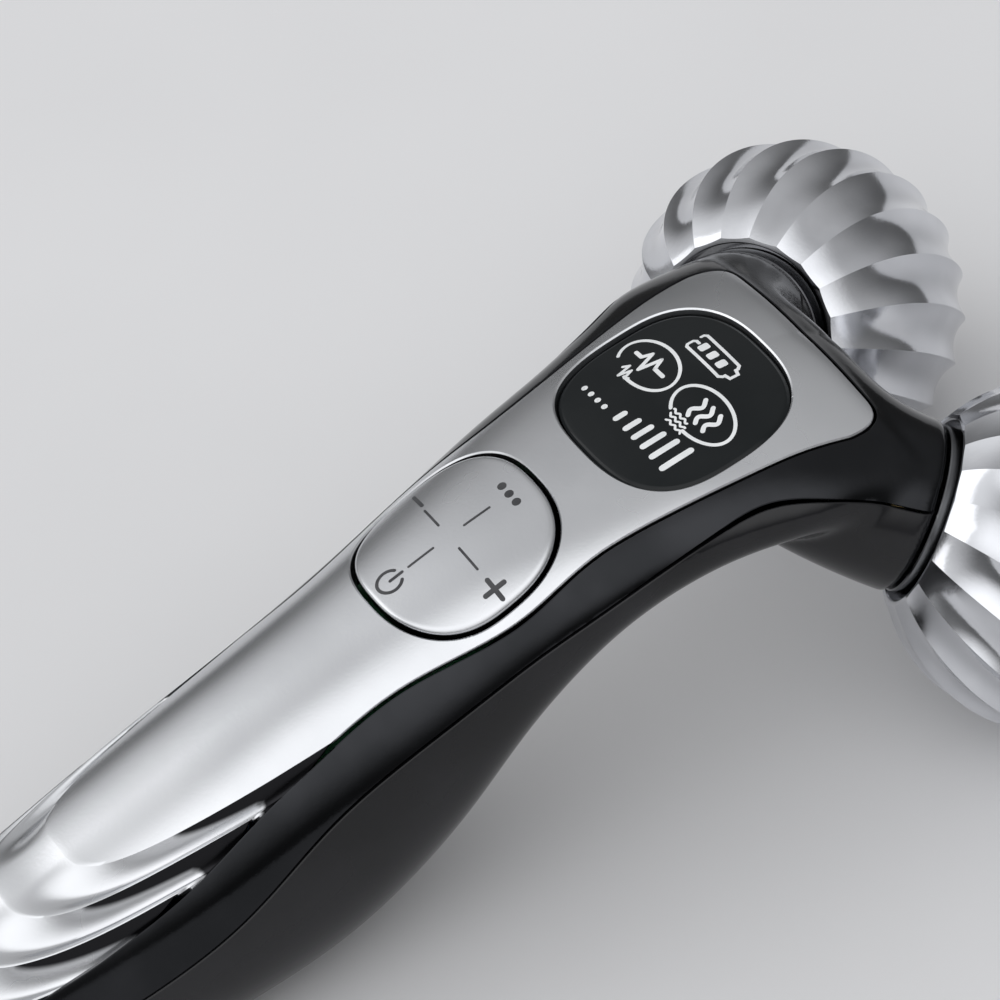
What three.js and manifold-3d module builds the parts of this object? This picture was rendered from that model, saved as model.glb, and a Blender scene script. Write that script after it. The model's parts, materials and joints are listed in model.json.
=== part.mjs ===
// Hand-held massage roller with two fluted balls, a four-way button pad and a display window.
// Millimetres. X runs across the handle, Y towards the head, Z up from the table that it lies on.
// Places along Y are measured from the middle of the button pad, and the finished group is
// moved so that its origin is under the middle of the whole roller.
import * as THREE from "three";
import { mergeVertices } from "three/addons/utils/BufferGeometryUtils.js";
import Module from "manifold-3d";

const wasm = await Module();
wasm.setup();

// Driving sizes of the rollers and the arms that carry them
const ballRadius = 21;
const ballSpacing = 57.6;
const ballAhead = 62.2;
const armSplay = THREE.MathUtils.degToRad(36);
const armDip = THREE.MathUtils.degToRad(32);
const armSink = 2.5;
const armRadius = 10.6;

// Head bar that joins the two arms
const barAhead = 40.5;
const barTop = 47.3;
const barHalfDepth = 12.6;
const barHalfHeight = 7.5;
const barTilt = THREE.MathUtils.degToRad(8);
const barStraight = 9;
const barPower = 2.6;

// Handle and neck
const handleEnd = -107;
const neckHalfWidth = 17.2;
const handleDomeLength = 17;
const handleDomePower = 2.4;
const handleDomeShare = 0.86;
const neckEnd = 48;
const bodyPower = 2.25;

// Walls, gaps and fits
const gap = 0.3;
const coverWall = 2.1;
const ledgeWall = 0.9;
const overrun = 4;
const weld = 0.001;

// Sections of the handle: place as a share of its length, half width as a share of the neck's,
// top and bottom as shares of the head's height, and the parting line as a share of the half
// height above the middle of the section
const sectionShares = [
  { place: 0, halfWidth: 0.7093, top: 0.5328, bottom: 0.0381, parting: 0.04 },
  { place: 0.1226, halfWidth: 0.7442, top: 0.5666, bottom: 0.0063, parting: 0.05 },
  { place: 0.2516, halfWidth: 0.8023, top: 0.6173, bottom: 0.0011, parting: 0.06 },
  { place: 0.4, halfWidth: 0.9477, top: 0.723, bottom: 0.0074, parting: 0.2 },
  { place: 0.5097, halfWidth: 0.9709, top: 0.8076, bottom: 0.0507, parting: 0.44 },
  { place: 0.6, halfWidth: 0.9884, top: 0.871, bottom: 0.203, parting: 0.44 },
  { place: 0.6903, halfWidth: 1, top: 0.9345, bottom: 0.4567, parting: 0.31 },
  { place: 0.7677, halfWidth: 1.0581, top: 0.9704, bottom: 0.6258, parting: 0.21 },
  { place: 0.8452, halfWidth: 1.1512, top: 0.9958, bottom: 0.6934, parting: 0.33 },
  { place: 0.8903, halfWidth: 1.2733, top: 1.0021, bottom: 0.7104, parting: 0.48 },
  { place: 0.9355, halfWidth: 1.4186, top: 1.0021, bottom: 0.7146, parting: 0.3 },
  { place: 1, halfWidth: 1.3372, top: 0.9641, bottom: 0.7188, parting: -0.5 },
];

// Silver cover: half width at places along the handle, as shares in the same way, and its ends
const coverEdgeShares = [
  { place: 0.0839, halfWidth: 0.5116 },
  { place: 0.2258, halfWidth: 0.5872 },
  { place: 0.3161, halfWidth: 0.6628 },
  { place: 0.3935, halfWidth: 0.7209 },
  { place: 0.4839, halfWidth: 0.6628 },
  { place: 0.5871, halfWidth: 0.6512 },
  { place: 0.6903, halfWidth: 0.8023 },
  { place: 0.7806, halfWidth: 0.7965 },
  { place: 0.9032, halfWidth: 0.9535 },
  { place: 0.9742, halfWidth: 1.0581 },
];
const coverFront = 49;
const coverBack = -98;
const coverCorner = 4;

// Grip lobes pressed into the silver cover: each has an edge like a U that opens to the head
const lobeFirst = -56.3;
const lobeLast = -100;
const lobePitch = 8.5;
const lobeReach = 21;
const lobeHalfWidth = 10;
const lobeMostHalfWidth = 13.5;
const lobeFlareShare = 0.13;
const lobePower = 4;
const lobeMostShare = 1.2;
const lobeSideDepth = 1.7;
const lobeMiddleDepth = 0.2;
const lobeWallShare = 0.45;
const lobeSideShares = { from: 0.2, to: 0.9 };
const lobeFadeShares = { from: 1.05, to: 1.18 };

// Four-way button pad, its rocker and the switches under it
const padPitch = THREE.MathUtils.degToRad(11.7);
const padHalfWidth = 11.9;
const padHalfLength = 11.7;
const padPower = 2.5;
const padGap = 0.6;
const padThick = 2.4;
const padRelief = 0.5;
const carrierThick = 1.5;
const carrierInset = 1;
const carrierRelief = 0.45;
const switchReach = 8.6;
const switchSide = 3.4;
const switchHeight = 1.5;
const plungerRadius = 0.8;
const plungerHeight = 0.4;
const pivotRadius = 1.6;
const pivotFoot = 2.6;
const pivotFootHeight = 0.6;

// Main circuit board
const boardHalfWidth = 9.6;
const boardBack = -30;
const boardFront = 10.5;
const boardThick = 1.2;

// Display window and the board of lit segments under it
const windowAhead = 31;
const windowPitch = THREE.MathUtils.degToRad(2.5);
const windowHalfWidth = 13.6;
const windowHalfLength = 12.4;
const windowPower = 2.7;
const windowRecess = 0.6;
const windowThick = 1.3;
const windowGap = 0.35;
const segmentBoardThick = 1.2;
const segmentBoardInset = 1.2;

// Cavity of the handle, battery, motor and its eccentric weight
const cavityBack = -86;
const cavityFront = 12.5;
const batteryRadius = 7;
const batteryLength = 49;
const batteryBack = -80;
const batteryTilt = THREE.MathUtils.degToRad(6);
const batteryNubRadius = 2.6;
const batteryNubLength = 1;
const cradleWidth = 2.4;
const cradleDrop = 1.5;
const motorRadius = 3.5;
const motorLength = 12;
const motorBack = 15;
const motorDrop = 8.1;
const shaftRadius = 0.75;
const shaftLength = 5.6;
const weightRadius = 3.1;
const weightLength = 4.4;
const weightSleeve = 0.6;
const motorBayLength = 20.5;

// Axle, bearings, contact ring, collar and hub of a roller
const axleRadius = 3;
const axleInside = 14;
const axleScrewRoom = 1.9;
const bearingRadius = 5.4;
const bearingWidth = 4.5;
const bearingInset = 0.7;
const collarRadius = 10.3;
const collarWidth = 2.5;
const contactRadius = 5.6;
const contactWidth = 3;
const contactDepth = 2.4;
const screwHeadRadius = 4.3;
const screwHeadHeight = 1.8;
const screwShankRadius = 1.5;
const screwShankLength = 7;
const hubRadius = 7.4;
const hubWidth = 1.5;
const hubCrown = 0.35;
const hubSeat = 1.9;
const ballMouthRadius = 11.2;
const ballMouthLip = 0.8;
const ballFlutes = 20;
const fluteSteps = 3;
const ballFluteDepth = 1.1;
const ballFluteTwist = THREE.MathUtils.degToRad(40);
const fluteFadeShares = { mouth: -0.84, full: -0.3, falling: 0.6, pole: 0.92 };
const fluteMouthShare = 0.22;

// Handle end cap and charging socket
const endCapLength = 6;
const socketHalfWidth = 4.5;
const socketHalfHeight = 1.6;
const socketDepth = 7;
const socketWall = 0.45;
const socketTongueHalfHeight = 0.4;
const socketTongueInset = 1.2;
const socketFloor = 1;

// Housing screws, driven from below
const fixingHeadRadius = 2.3;
const fixingHeadHeight = 1.5;
const fixingShankRadius = 1.2;
const fixingSlotDepth = 0.7;
const fixingSlotHalfWidth = 0.4;
const frontFixingLength = 6.4;
const rearFixingLength = 9;
const fixingShares = {
  front: { side: 0.5233, place: 0.7903, seat: 0.7653 },
  rear: { side: 0.4186, place: 0.0968, seat: 0.1818 },
};

// Facets
const outerFacets = { rows: 18, columns: 26, barRows: 12, barColumns: 20 };
const innerFacets = { rows: 10, columns: 18, barRows: 8, barColumns: 16 };
const lobedFacets = { rows: 42, columns: 30, barRows: 12, barColumns: 20 };
const gripRowsShare = 0.75;
const lobeHalvings = 20;
const partingSteps = 26;
const coverCurveSteps = 5;
const ballRows = 12;
const roundSides = 20;
const smallSides = 12;
const outlineSteps = 28;

const finishes = {
  silver: { color: 0xc9cbd0, roughness: 0.3, metalness: 1 },
  chrome: { color: 0xd6d8dc, roughness: 0.1, metalness: 1 },
  darkChrome: { color: 0x16171a, roughness: 0.15, metalness: 0.9 },
  glossBlack: { color: 0x08090a, roughness: 0.12, metalness: 0.1 },
  lens: { color: 0x0d1113, roughness: 0.08, metalness: 0 },
  steel: { color: 0x9a9ca0, roughness: 0.35, metalness: 1 },
  brass: { color: 0xb8923f, roughness: 0.35, metalness: 1 },
  board: { color: 0x1d5a34, roughness: 0.6, metalness: 0 },
  greyPlastic: { color: 0x4a4d52, roughness: 0.55, metalness: 0 },
  wrap: { color: 0x2c5a9c, roughness: 0.45, metalness: 0 },
};

// Closed geometry to solid and back
function solid(geometry, matrix = new THREE.Matrix4()) {
  const bare = geometry.clone().applyMatrix4(matrix);
  bare.deleteAttribute("normal");
  bare.deleteAttribute("uv");
  const merged = mergeVertices(bare, weld);
  const mesh = new wasm.Mesh({
    numProp: 3,
    vertProperties: new Float32Array(merged.attributes.position.array),
    triVerts: new Uint32Array(merged.index.array),
  });
  return new wasm.Manifold(mesh);
}

function geometryOf(body) {
  const mesh = body.getMesh();
  const geometry = new THREE.BufferGeometry();
  geometry.setAttribute("position", new THREE.BufferAttribute(mesh.vertProperties, 3));
  geometry.setIndex(new THREE.BufferAttribute(mesh.triVerts, 1));
  const flat = geometry.toNonIndexed();
  flat.computeVertexNormals();
  return flat;
}

function moved(x, y, z) {
  return new THREE.Matrix4().makeTranslation(x, y, z);
}

// Basis that sends a shape's own X, Y and Z to three directions at a place
function framed(alongX, alongY, alongZ, place) {
  return new THREE.Matrix4().makeBasis(alongX, alongY, alongZ).setPosition(place);
}

const right = new THREE.Vector3(1, 0, 0);
const ahead = new THREE.Vector3(0, 1, 0);
const up = new THREE.Vector3(0, 0, 1);
const origin = new THREE.Vector3();

// Signed power, which turns a circle into a superellipse
function squared(value, power) {
  return Math.sign(value) * Math.abs(value) ** (2 / power);
}

// Capped unit cylinder along Y whose every point is placed anew: share is 0 to 1 along it,
// across and rise are the point's place in the unit circle
function loft(rows, columns, place) {
  const geometry = new THREE.CylinderGeometry(1, 1, 1, columns, rows);
  const position = geometry.attributes.position;
  const point = new THREE.Vector3();
  for (let i = 0; i < position.count; i++) {
    point.fromBufferAttribute(position, i);
    const share = point.y + 1 / 2;
    place(point, share, point.x, point.z);
    position.setXYZ(i, point.x, point.y, point.z);
  }
  return geometry;
}

// Place along Y at a share of the handle's length
function placeAt(share) {
  return THREE.MathUtils.lerp(handleEnd, neckEnd, share);
}

const sections = sectionShares.map((s) => [
  s.halfWidth * neckHalfWidth,
  s.top * barTop,
  s.bottom * barTop,
  s.parting,
]);
const sectionCurve = new THREE.CubicInterpolant(
  sectionShares.map((s) => placeAt(s.place)),
  sections.flat(),
  sections[0].length,
);

// Half width, top, bottom and parting height of the handle at a place along Y
function sectionAt(y) {
  const [halfWidth, top, bottom, partingShare] = sectionCurve.evaluate(y);
  const middle = (top + bottom) / 2;
  const halfHeight = (top - bottom) / 2;
  return { halfWidth, middle, halfHeight, parting: middle + partingShare * halfHeight };
}

// How far the rounded end of the handle has closed in at a place along Y
function domeAt(y) {
  const share = Math.max(0, (handleEnd + handleDomeLength - y) / handleDomeLength);
  return (1 - (share * handleDomeShare) ** handleDomePower) ** (1 / handleDomePower);
}

// Half width of the U that has its bottom at a place: they flare towards the handle end
function lobeWidth(bottom) {
  const flare = lobeFlareShare * Math.max(0, lobeFirst - bottom);
  return Math.min(lobeMostHalfWidth, lobeHalfWidth + flare);
}

// Bottom of the U that runs through a point, found by halving
function lobeBottom(x, y) {
  let low = y - lobeReach * lobeMostShare ** lobePower;
  let high = y;
  for (let i = 0; i < lobeHalvings; i++) {
    const bottom = (low + high) / 2;
    const share = Math.min(lobeMostShare, Math.abs(x) / lobeWidth(bottom));
    if (bottom + lobeReach * share ** lobePower > y) high = bottom;
    else low = bottom;
  }
  return (low + high) / 2;
}

// Depth of the grip lobes under the plain surface: each falls off its edge to a valley and
// rises again to the edge of the next
function lobeDepth(x, y) {
  const bottom = lobeBottom(x, y);
  const place = (lobeFirst - bottom) / lobePitch;
  if (place < 0 || bottom < lobeLast) return 0;
  const step = place - Math.floor(place);
  const wall = Math.min(1, step / lobeWallShare);
  const rise = 1 - (1 - wall) ** 2;
  const fall = 1 - THREE.MathUtils.smoothstep(step, lobeWallShare, 1);
  const share = Math.abs(x) / lobeWidth(bottom);
  const side = THREE.MathUtils.smoothstep(share, lobeSideShares.from, lobeSideShares.to);
  const fade = 1 - THREE.MathUtils.smoothstep(share, lobeFadeShares.from, lobeFadeShares.to);
  return rise * fall * fade * THREE.MathUtils.lerp(lobeMiddleDepth, lobeSideDepth, side);
}

// Place along Y of a row: a lobed handle has most of its rows in the grip
function rowPlace(share, from, to, lobed) {
  if (!lobed) return THREE.MathUtils.lerp(from, to, share);
  const front = lobeFirst + lobeReach;
  if (share < gripRowsShare) return THREE.MathUtils.lerp(from, front, share / gripRowsShare);
  return THREE.MathUtils.lerp(front, to, (share - gripRowsShare) / (1 - gripRowsShare));
}

// Handle and neck between two places along Y, drawn in by an inset, with or without grip lobes
function handle({ from = handleEnd, to = neckEnd, inset = 0, rows, columns, lobed = false }) {
  return solid(
    loft(rows, columns, (point, share, across, rise) => {
      const y = rowPlace(share, from, to, lobed);
      const { halfWidth, middle, halfHeight } = sectionAt(y);
      const dome = domeAt(y - inset);
      const radius = Math.hypot(across, rise);
      const x = squared(across, bodyPower) * (halfWidth * dome - inset);
      let lift = squared(rise, bodyPower) * (halfHeight * dome - inset);
      if (lobed && radius > 1 / 2 && rise > 0) lift -= lobeDepth(x, y);
      point.set(x, y, middle + lift);
    }),
  );
}

// Direction of the right arm, and where it ends
const armDirection = new THREE.Vector3(
  Math.sin(armSplay) * Math.cos(armDip),
  Math.cos(armSplay) * Math.cos(armDip),
  -Math.sin(armDip),
);
const ballCentre = new THREE.Vector3(ballSpacing / 2, ballAhead, ballRadius);
const armReach = ballRadius - armSink;
const armEnd = ballCentre.clone().addScaledVector(armDirection, -armReach);

// Head bar from the end of the left arm, across the head, to the end of the right arm
function headBar(inset, rows, columns) {
  const start = new THREE.Vector3(0, barAhead, barTop - barHalfHeight);
  const end = armEnd.clone().addScaledVector(armDirection, -inset);
  const path = new THREE.CubicBezierCurve3(
    start,
    start.clone().addScaledVector(right, barStraight),
    armEnd.clone().addScaledVector(armDirection, -barStraight),
    end,
  );
  return solid(
    loft(rows, columns, (point, share, across, rise) => {
      const side = share < 1 / 2 ? -1 : 1;
      const t = Math.abs(2 * share - 1);
      const place = path.getPoint(t);
      const along = path.getTangent(t);
      const wide = new THREE.Vector3(-along.y, along.x, 0).normalize();
      wide.applyAxisAngle(along, -barTilt * (1 - t) ** 2);
      const high = new THREE.Vector3().crossVectors(along, wide);
      const blend = THREE.MathUtils.smoothstep(t, 0, 1);
      const power = THREE.MathUtils.lerp(barPower, 2, blend);
      const halfDepth = THREE.MathUtils.lerp(barHalfDepth, armRadius, blend) - inset;
      const halfHeight = THREE.MathUtils.lerp(barHalfHeight, armRadius, blend) - inset;
      point.copy(place);
      point.addScaledVector(wide, -squared(across, power) * halfDepth);
      point.addScaledVector(high, squared(rise, power) * halfHeight);
      point.x *= side;
    }),
  );
}

// Handle, neck and head bar as one form, drawn in by an inset
function body(inset, facets = innerFacets) {
  const { rows, columns, barRows, barColumns } = facets;
  const lobed = facets === lobedFacets;
  const from = handleEnd + inset;
  return handle({ inset, lobed, from, rows, columns }).add(headBar(inset, barRows, barColumns));
}

// Solid above a line drawn in the Y-Z plane, as wide as the whole roller
function above(heightAt, from, to, steps) {
  const shape = new THREE.Shape();
  const reach = ballSpacing;
  shape.moveTo(from, heightAt(from));
  for (let i = 1; i <= steps; i++) {
    const y = from + ((to - from) * i) / steps;
    shape.lineTo(y, heightAt(y));
  }
  shape.lineTo(to, barTop + ballRadius);
  shape.lineTo(from, barTop + ballRadius);
  const depth = 2 * reach;
  const geometry = new THREE.ExtrudeGeometry(shape, { depth, bevelEnabled: false });
  return solid(geometry, framed(ahead, up, right, new THREE.Vector3(-reach, 0, 0)));
}

function partingAt(y) {
  return sectionAt(THREE.MathUtils.clamp(y, handleEnd, neckEnd)).parting;
}

// Everything above the parting line, raised or lowered by half the gap between the two halves
function aboveParting(side) {
  const from = handleEnd - overrun;
  const to = ballAhead + ballRadius;
  return above((y) => partingAt(y) + (side * gap) / 2, from, to, partingSteps);
}

// The main piece of a cut solid, without the slivers that a cut can leave at an edge
function mainPiece(cut) {
  const pieces = solid(geometryOf(cut)).decompose();
  return pieces.reduce((best, next) => (next.volume() > best.volume() ? next : best));
}

// Upright prism on a closed outline
function prism(shape, from, to, matrix = new THREE.Matrix4()) {
  const depth = to - from;
  const geometry = new THREE.ExtrudeGeometry(shape, { depth, bevelEnabled: false });
  return solid(geometry, matrix.clone().multiply(moved(0, 0, from)));
}

function coverPrism(extra) {
  const side = coverEdgeShares.map(
    (p) => new THREE.Vector2(p.halfWidth * neckHalfWidth + extra, placeAt(p.place)),
  );
  const front = coverFront + extra;
  const back = coverBack - extra;
  const shape = new THREE.Shape();
  const last = side[side.length - 1];
  const first = side[0];
  shape.moveTo(first.x, first.y);
  shape.splineThru(side.slice(1));
  shape.quadraticCurveTo(last.x + extra / 2, front, last.x - coverCorner, front);
  shape.lineTo(-last.x + coverCorner, front);
  shape.quadraticCurveTo(-last.x - extra / 2, front, -last.x, last.y);
  shape.splineThru(side.slice(0, -1).reverse().map((p) => new THREE.Vector2(-p.x, p.y)));
  shape.quadraticCurveTo(-first.x, back, 0, back);
  shape.quadraticCurveTo(first.x, back, first.x, first.y);
  return prism(new THREE.Shape(shape.getPoints(coverCurveSteps)), 0, barTop + ballRadius);
}

function squircle(halfWidth, halfLength, power) {
  const points = [];
  const count = outlineSteps;
  for (let i = 0; i < count; i++) {
    const angle = (2 * Math.PI * i) / count;
    const x = squared(Math.cos(angle), power) * halfWidth;
    const y = squared(Math.sin(angle), power) * halfLength;
    points.push(new THREE.Vector2(x, y));
  }
  return new THREE.Shape(points);
}

// Round piece turned about an axis, from a closed profile of [radius, place along the axis]
function turned(profile, matrix = new THREE.Matrix4(), sides = roundSides) {
  const points = profile.map(([radius, along]) => new THREE.Vector2(radius, along));
  points.push(points[0].clone());
  return solid(new THREE.LatheGeometry(points, sides), matrix);
}

function tube(inner, outer, from, to, matrix) {
  return turned([[inner, from], [outer, from], [outer, to], [inner, to]], matrix);
}

function rod(radius, from, to, matrix, sides = roundSides) {
  const length = to - from;
  const geometry = new THREE.CylinderGeometry(radius, radius, length, sides);
  geometry.translate(0, from + length / 2, 0);
  return solid(geometry, matrix);
}

function block(width, length, height, x, y, z, matrix = new THREE.Matrix4()) {
  const geometry = new THREE.BoxGeometry(width, length, height);
  geometry.translate(x, y, z);
  return solid(geometry, matrix);
}

const group = new THREE.Group();
group.position.y = -(ballAhead + ballRadius + handleEnd) / 2;

function piece(name, finish, shape) {
  const material = new THREE.MeshStandardMaterial(finish);
  const mesh = new THREE.Mesh(geometryOf(shape), material);
  mesh.name = name;
  group.add(mesh);
}

// Frames of the pad and the window, each with Z square to the surface that it lies in
const padFrame = moved(0, 0, sectionAt(0).middle + sectionAt(0).halfHeight);
padFrame.multiply(new THREE.Matrix4().makeRotationX(padPitch));
const windowTop = sectionAt(windowAhead).middle + sectionAt(windowAhead).halfHeight;
const windowFrame = moved(0, windowAhead, windowTop);
windowFrame.multiply(new THREE.Matrix4().makeRotationX(windowPitch));

// Heights under the pad's own surface
const carrierTop = -padThick - padRelief;
const carrierBottom = carrierTop - carrierThick;
const plungerTop = carrierBottom - carrierRelief;
const switchTop = plungerTop - plungerHeight;
const boardTop = switchTop - switchHeight - gap;
const boardBottom = boardTop - boardThick;

// Heights under the window's surface
const windowBottom = -windowRecess - windowThick;
const segmentTop = windowBottom - gap;
const segmentBottom = segmentTop - segmentBoardThick;

const plainBody = body(0, outerFacets);
const cavity = handle({
  from: cavityBack,
  to: cavityFront,
  inset: coverWall + gap + ledgeWall,
  rows: innerFacets.rows,
  columns: innerFacets.columns,
});

function padHole(extra, from, to) {
  const shape = squircle(padHalfWidth + extra, padHalfLength + extra, padPower);
  return prism(shape, from, to, padFrame);
}

function windowHole(extra, from, to) {
  const shape = squircle(windowHalfWidth + extra, windowHalfLength + extra, windowPower);
  return prism(shape, from, to, windowFrame);
}

function endPlane(y) {
  const depth = overrun + endCapLength + gap;
  const side = 2 * (barTop + ballRadius);
  return block(side, depth, side, 0, y - depth / 2, 0);
}

// Axis frames of the two rollers: Y runs out along the axle from the middle of the ball
function rollerFrame(side) {
  const along = armDirection.clone().setX(side * armDirection.x);
  const across = new THREE.Vector3(-along.y, along.x, 0).normalize();
  const rise = new THREE.Vector3().crossVectors(across, along);
  const centre = ballCentre.clone().setX(side * ballCentre.x);
  return framed(across, along, rise, centre);
}

const rollers = [
  { name: "left", frame: rollerFrame(-1) },
  { name: "right", frame: rollerFrame(1) },
];

// What the housings make room for in each arm: the axle and the contact ring
function armBores() {
  return rollers.map(({ frame }) => {
    const mouth = -armReach + overrun;
    const axle = rod(axleRadius + gap, -armReach - axleInside - gap, mouth, frame);
    const depth = contactDepth + contactWidth + gap;
    return axle.add(rod(contactRadius + gap, -armReach - depth, mouth, frame));
  });
}

// Frame of an upright screw: Y runs up its axis from the floor
function uprightFrame(x, y) {
  return framed(right, up, ahead.clone().negate(), new THREE.Vector3(x, y, 0));
}

const fixings = [
  { name: "front", length: frontFixingLength },
  { name: "rear", length: rearFixingLength },
].map(({ name, length }) => {
  const { side, place, seat } = fixingShares[name];
  return { name, length, x: side * neckHalfWidth, y: placeAt(place), seat: seat * barTop };
});

function fixingBores() {
  return fixings.flatMap(({ x, y, seat, length }) =>
    [-x, x].map((at) => {
      const frame = uprightFrame(at, y);
      const shank = rod(fixingShankRadius + gap, seat, seat + length + gap, frame, smallSides);
      return shank.add(rod(fixingHeadRadius + gap, -overrun, seat + gap / 2, frame, smallSides));
    }),
  );
}

const batteryCentre = batteryBack + batteryLength / 2;
const batteryFrame = moved(0, batteryCentre, sectionAt(batteryCentre).middle);
batteryFrame.multiply(new THREE.Matrix4().makeRotationX(batteryTilt));

const motorFrame = moved(0, motorBack, barTop - motorDrop);

// Two ribs across the bay of the lower housing that the battery lies in
function batteryCradle() {
  const [back, front] = [-1, 1].map((end) => {
    const at = (end * batteryLength) / 4;
    const middle = -cradleDrop - barTop / 2;
    return block(2 * barTop, cradleWidth, barTop, 0, at, middle, batteryFrame);
  });
  const room = rod(batteryRadius + gap, -batteryLength, batteryLength, batteryFrame);
  return back.add(front).subtract(room);
}

function housings() {
  const coverSlot = coverPrism(gap).subtract(body(coverWall + gap));
  const motorBay = rod(motorRadius + gap, -overrun, motorBayLength, motorFrame);
  const cuts = [
    cavity,
    motorBay,
    endPlane(handleEnd + endCapLength + gap),
    padHole(padGap, boardBottom, overrun),
    windowHole(windowGap, segmentBottom - gap, overrun),
    ...armBores(),
    ...fixingBores(),
  ];
  const upper = plainBody.intersect(aboveParting(1)).subtract(coverSlot);
  const lower = plainBody.subtract(aboveParting(-1));
  const tongue = block(
    2 * (socketHalfWidth + gap),
    socketDepth + gap,
    2 * (socketHalfHeight + gap),
    0,
    handleEnd + (socketDepth + gap) / 2,
    sectionAt(handleEnd).middle,
  );
  cuts.push(tongue);
  const cutAll = (start) => mainPiece(cuts.reduce((rest, cut) => rest.subtract(cut), start));
  piece("upper_housing", finishes.darkChrome, cutAll(upper));
  const cradle = batteryCradle().intersect(lower);
  piece("lower_housing", finishes.glossBlack, mainPiece(cutAll(lower).add(cradle)));
}

function topCover() {
  const skin = body(0, lobedFacets).intersect(coverPrism(0)).subtract(body(coverWall));
  const cover = skin
    .intersect(aboveParting(1))
    .subtract(padHole(padGap, boardBottom, overrun))
    .subtract(windowHole(windowGap, segmentBottom, overrun));
  piece("top_cover", finishes.silver, mainPiece(cover));
}

function display() {
  const window = windowHole(0, windowBottom, overrun).intersect(body(windowRecess));
  piece("display_window", finishes.lens, window);
  const boardShape = squircle(
    windowHalfWidth - segmentBoardInset,
    windowHalfLength - segmentBoardInset,
    windowPower,
  );
  const board = prism(boardShape, segmentBottom, segmentTop, windowFrame);
  piece("display_board", finishes.board, board);
}

function buttonPad() {
  const pad = padHole(0, -padThick, overrun).intersect(plainBody);
  piece("button_pad", finishes.silver, pad);
  const shape = squircle(padHalfWidth - carrierInset, padHalfLength - carrierInset, padPower);
  const carrier = prism(shape, carrierBottom, carrierTop, padFrame);
  piece("pad_carrier", finishes.greyPlastic, carrier);
  const upright = padFrame.clone().multiply(new THREE.Matrix4().makeRotationX(Math.PI / 2));
  const foot = rod(pivotFoot, boardTop + gap, boardTop + gap + pivotFootHeight, upright);
  const post = rod(pivotRadius, boardTop + gap, carrierBottom - gap, upright);
  piece("pad_pivot", finishes.greyPlastic, foot.add(post));
  const switches = [
    { name: "minus", x: -switchReach, y: 0 },
    { name: "plus", x: switchReach, y: 0 },
    { name: "mode", x: 0, y: switchReach },
    { name: "power", x: 0, y: -switchReach },
  ];
  for (const { name, x, y } of switches) {
    const frame = padFrame.clone().multiply(moved(x, y, 0));
    const middle = switchTop - switchHeight / 2;
    const box = block(switchSide, switchSide, switchHeight, 0, 0, middle, frame);
    const turn = frame.clone().multiply(new THREE.Matrix4().makeRotationX(Math.PI / 2));
    const plunger = rod(plungerRadius, switchTop - switchHeight / 2, plungerTop, turn, smallSides);
    piece("switch_" + name, finishes.steel, box.add(plunger));
  }
}

function electronics() {
  const boardLength = boardFront - boardBack;
  const board = block(
    2 * boardHalfWidth,
    boardLength,
    boardThick,
    0,
    (boardFront + boardBack) / 2,
    boardTop - boardThick / 2,
    padFrame,
  );
  piece("main_board", finishes.board, board);
  const half = batteryLength / 2;
  const can = rod(batteryRadius, -half, half - batteryNubLength, batteryFrame);
  piece("battery_cell", finishes.wrap, can.add(rod(batteryNubRadius, 0, half, batteryFrame)));
  const motor = rod(motorRadius, 0, motorLength, motorFrame);
  const shaft = rod(shaftRadius, 0, motorLength + shaftLength, motorFrame, smallSides);
  piece("vibration_motor", finishes.steel, motor.add(shaft));
  const from = motorLength + gap;
  const to = from + weightLength;
  const middle = from + weightLength / 2;
  const lower = block(
    2 * weightRadius,
    weightLength,
    weightRadius,
    0,
    middle,
    -weightRadius / 2,
    motorFrame,
  );
  const disc = rod(weightRadius, from, to, motorFrame);
  const sleeve = rod(shaftRadius + gap + weightSleeve, from, to, motorFrame, smallSides);
  const bore = rod(shaftRadius + gap, 0, to + overrun, motorFrame, smallSides);
  piece("motor_weight", finishes.brass, disc.intersect(lower).add(sleeve).subtract(bore));
}

function endCap() {
  const tail = plainBody.intersect(endPlane(handleEnd + endCapLength - gap / 2));
  const middle = sectionAt(handleEnd).middle;
  const outer = block(
    2 * socketHalfWidth,
    socketDepth,
    2 * socketHalfHeight,
    0,
    handleEnd + socketDepth / 2,
    middle,
  );
  const room = block(
    2 * (socketHalfWidth + gap),
    2 * socketDepth,
    2 * (socketHalfHeight + gap),
    0,
    handleEnd,
    middle,
  );
  piece("end_cap", finishes.glossBlack, tail.subtract(room));
  const hollow = block(
    2 * (socketHalfWidth - socketWall),
    2 * (socketDepth - socketFloor),
    2 * (socketHalfHeight - socketWall),
    0,
    handleEnd,
    middle,
  );
  const tongueLength = socketDepth - socketTongueInset;
  const tongue = block(
    2 * (socketHalfWidth - 2 * socketWall - gap),
    tongueLength,
    2 * socketTongueHalfHeight,
    0,
    handleEnd + socketTongueInset + tongueLength / 2,
    middle,
  );
  piece("charge_socket", finishes.steel, outer.subtract(hollow).add(tongue));
}

// Half outline of the ball from the middle of its mouth, over the sphere, to its pole
function ballOutline() {
  const start = Math.PI - Math.asin((ballMouthRadius + ballMouthLip) / ballRadius);
  const points = [new THREE.Vector2(0, ballRadius * Math.cos(start))];
  for (let i = 0; i <= ballRows; i++) {
    const angle = start * (1 - i / ballRows);
    const radius = i === ballRows ? 0 : ballRadius * Math.sin(angle);
    points.push(new THREE.Vector2(radius, ballRadius * Math.cos(angle)));
  }
  return points;
}

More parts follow.
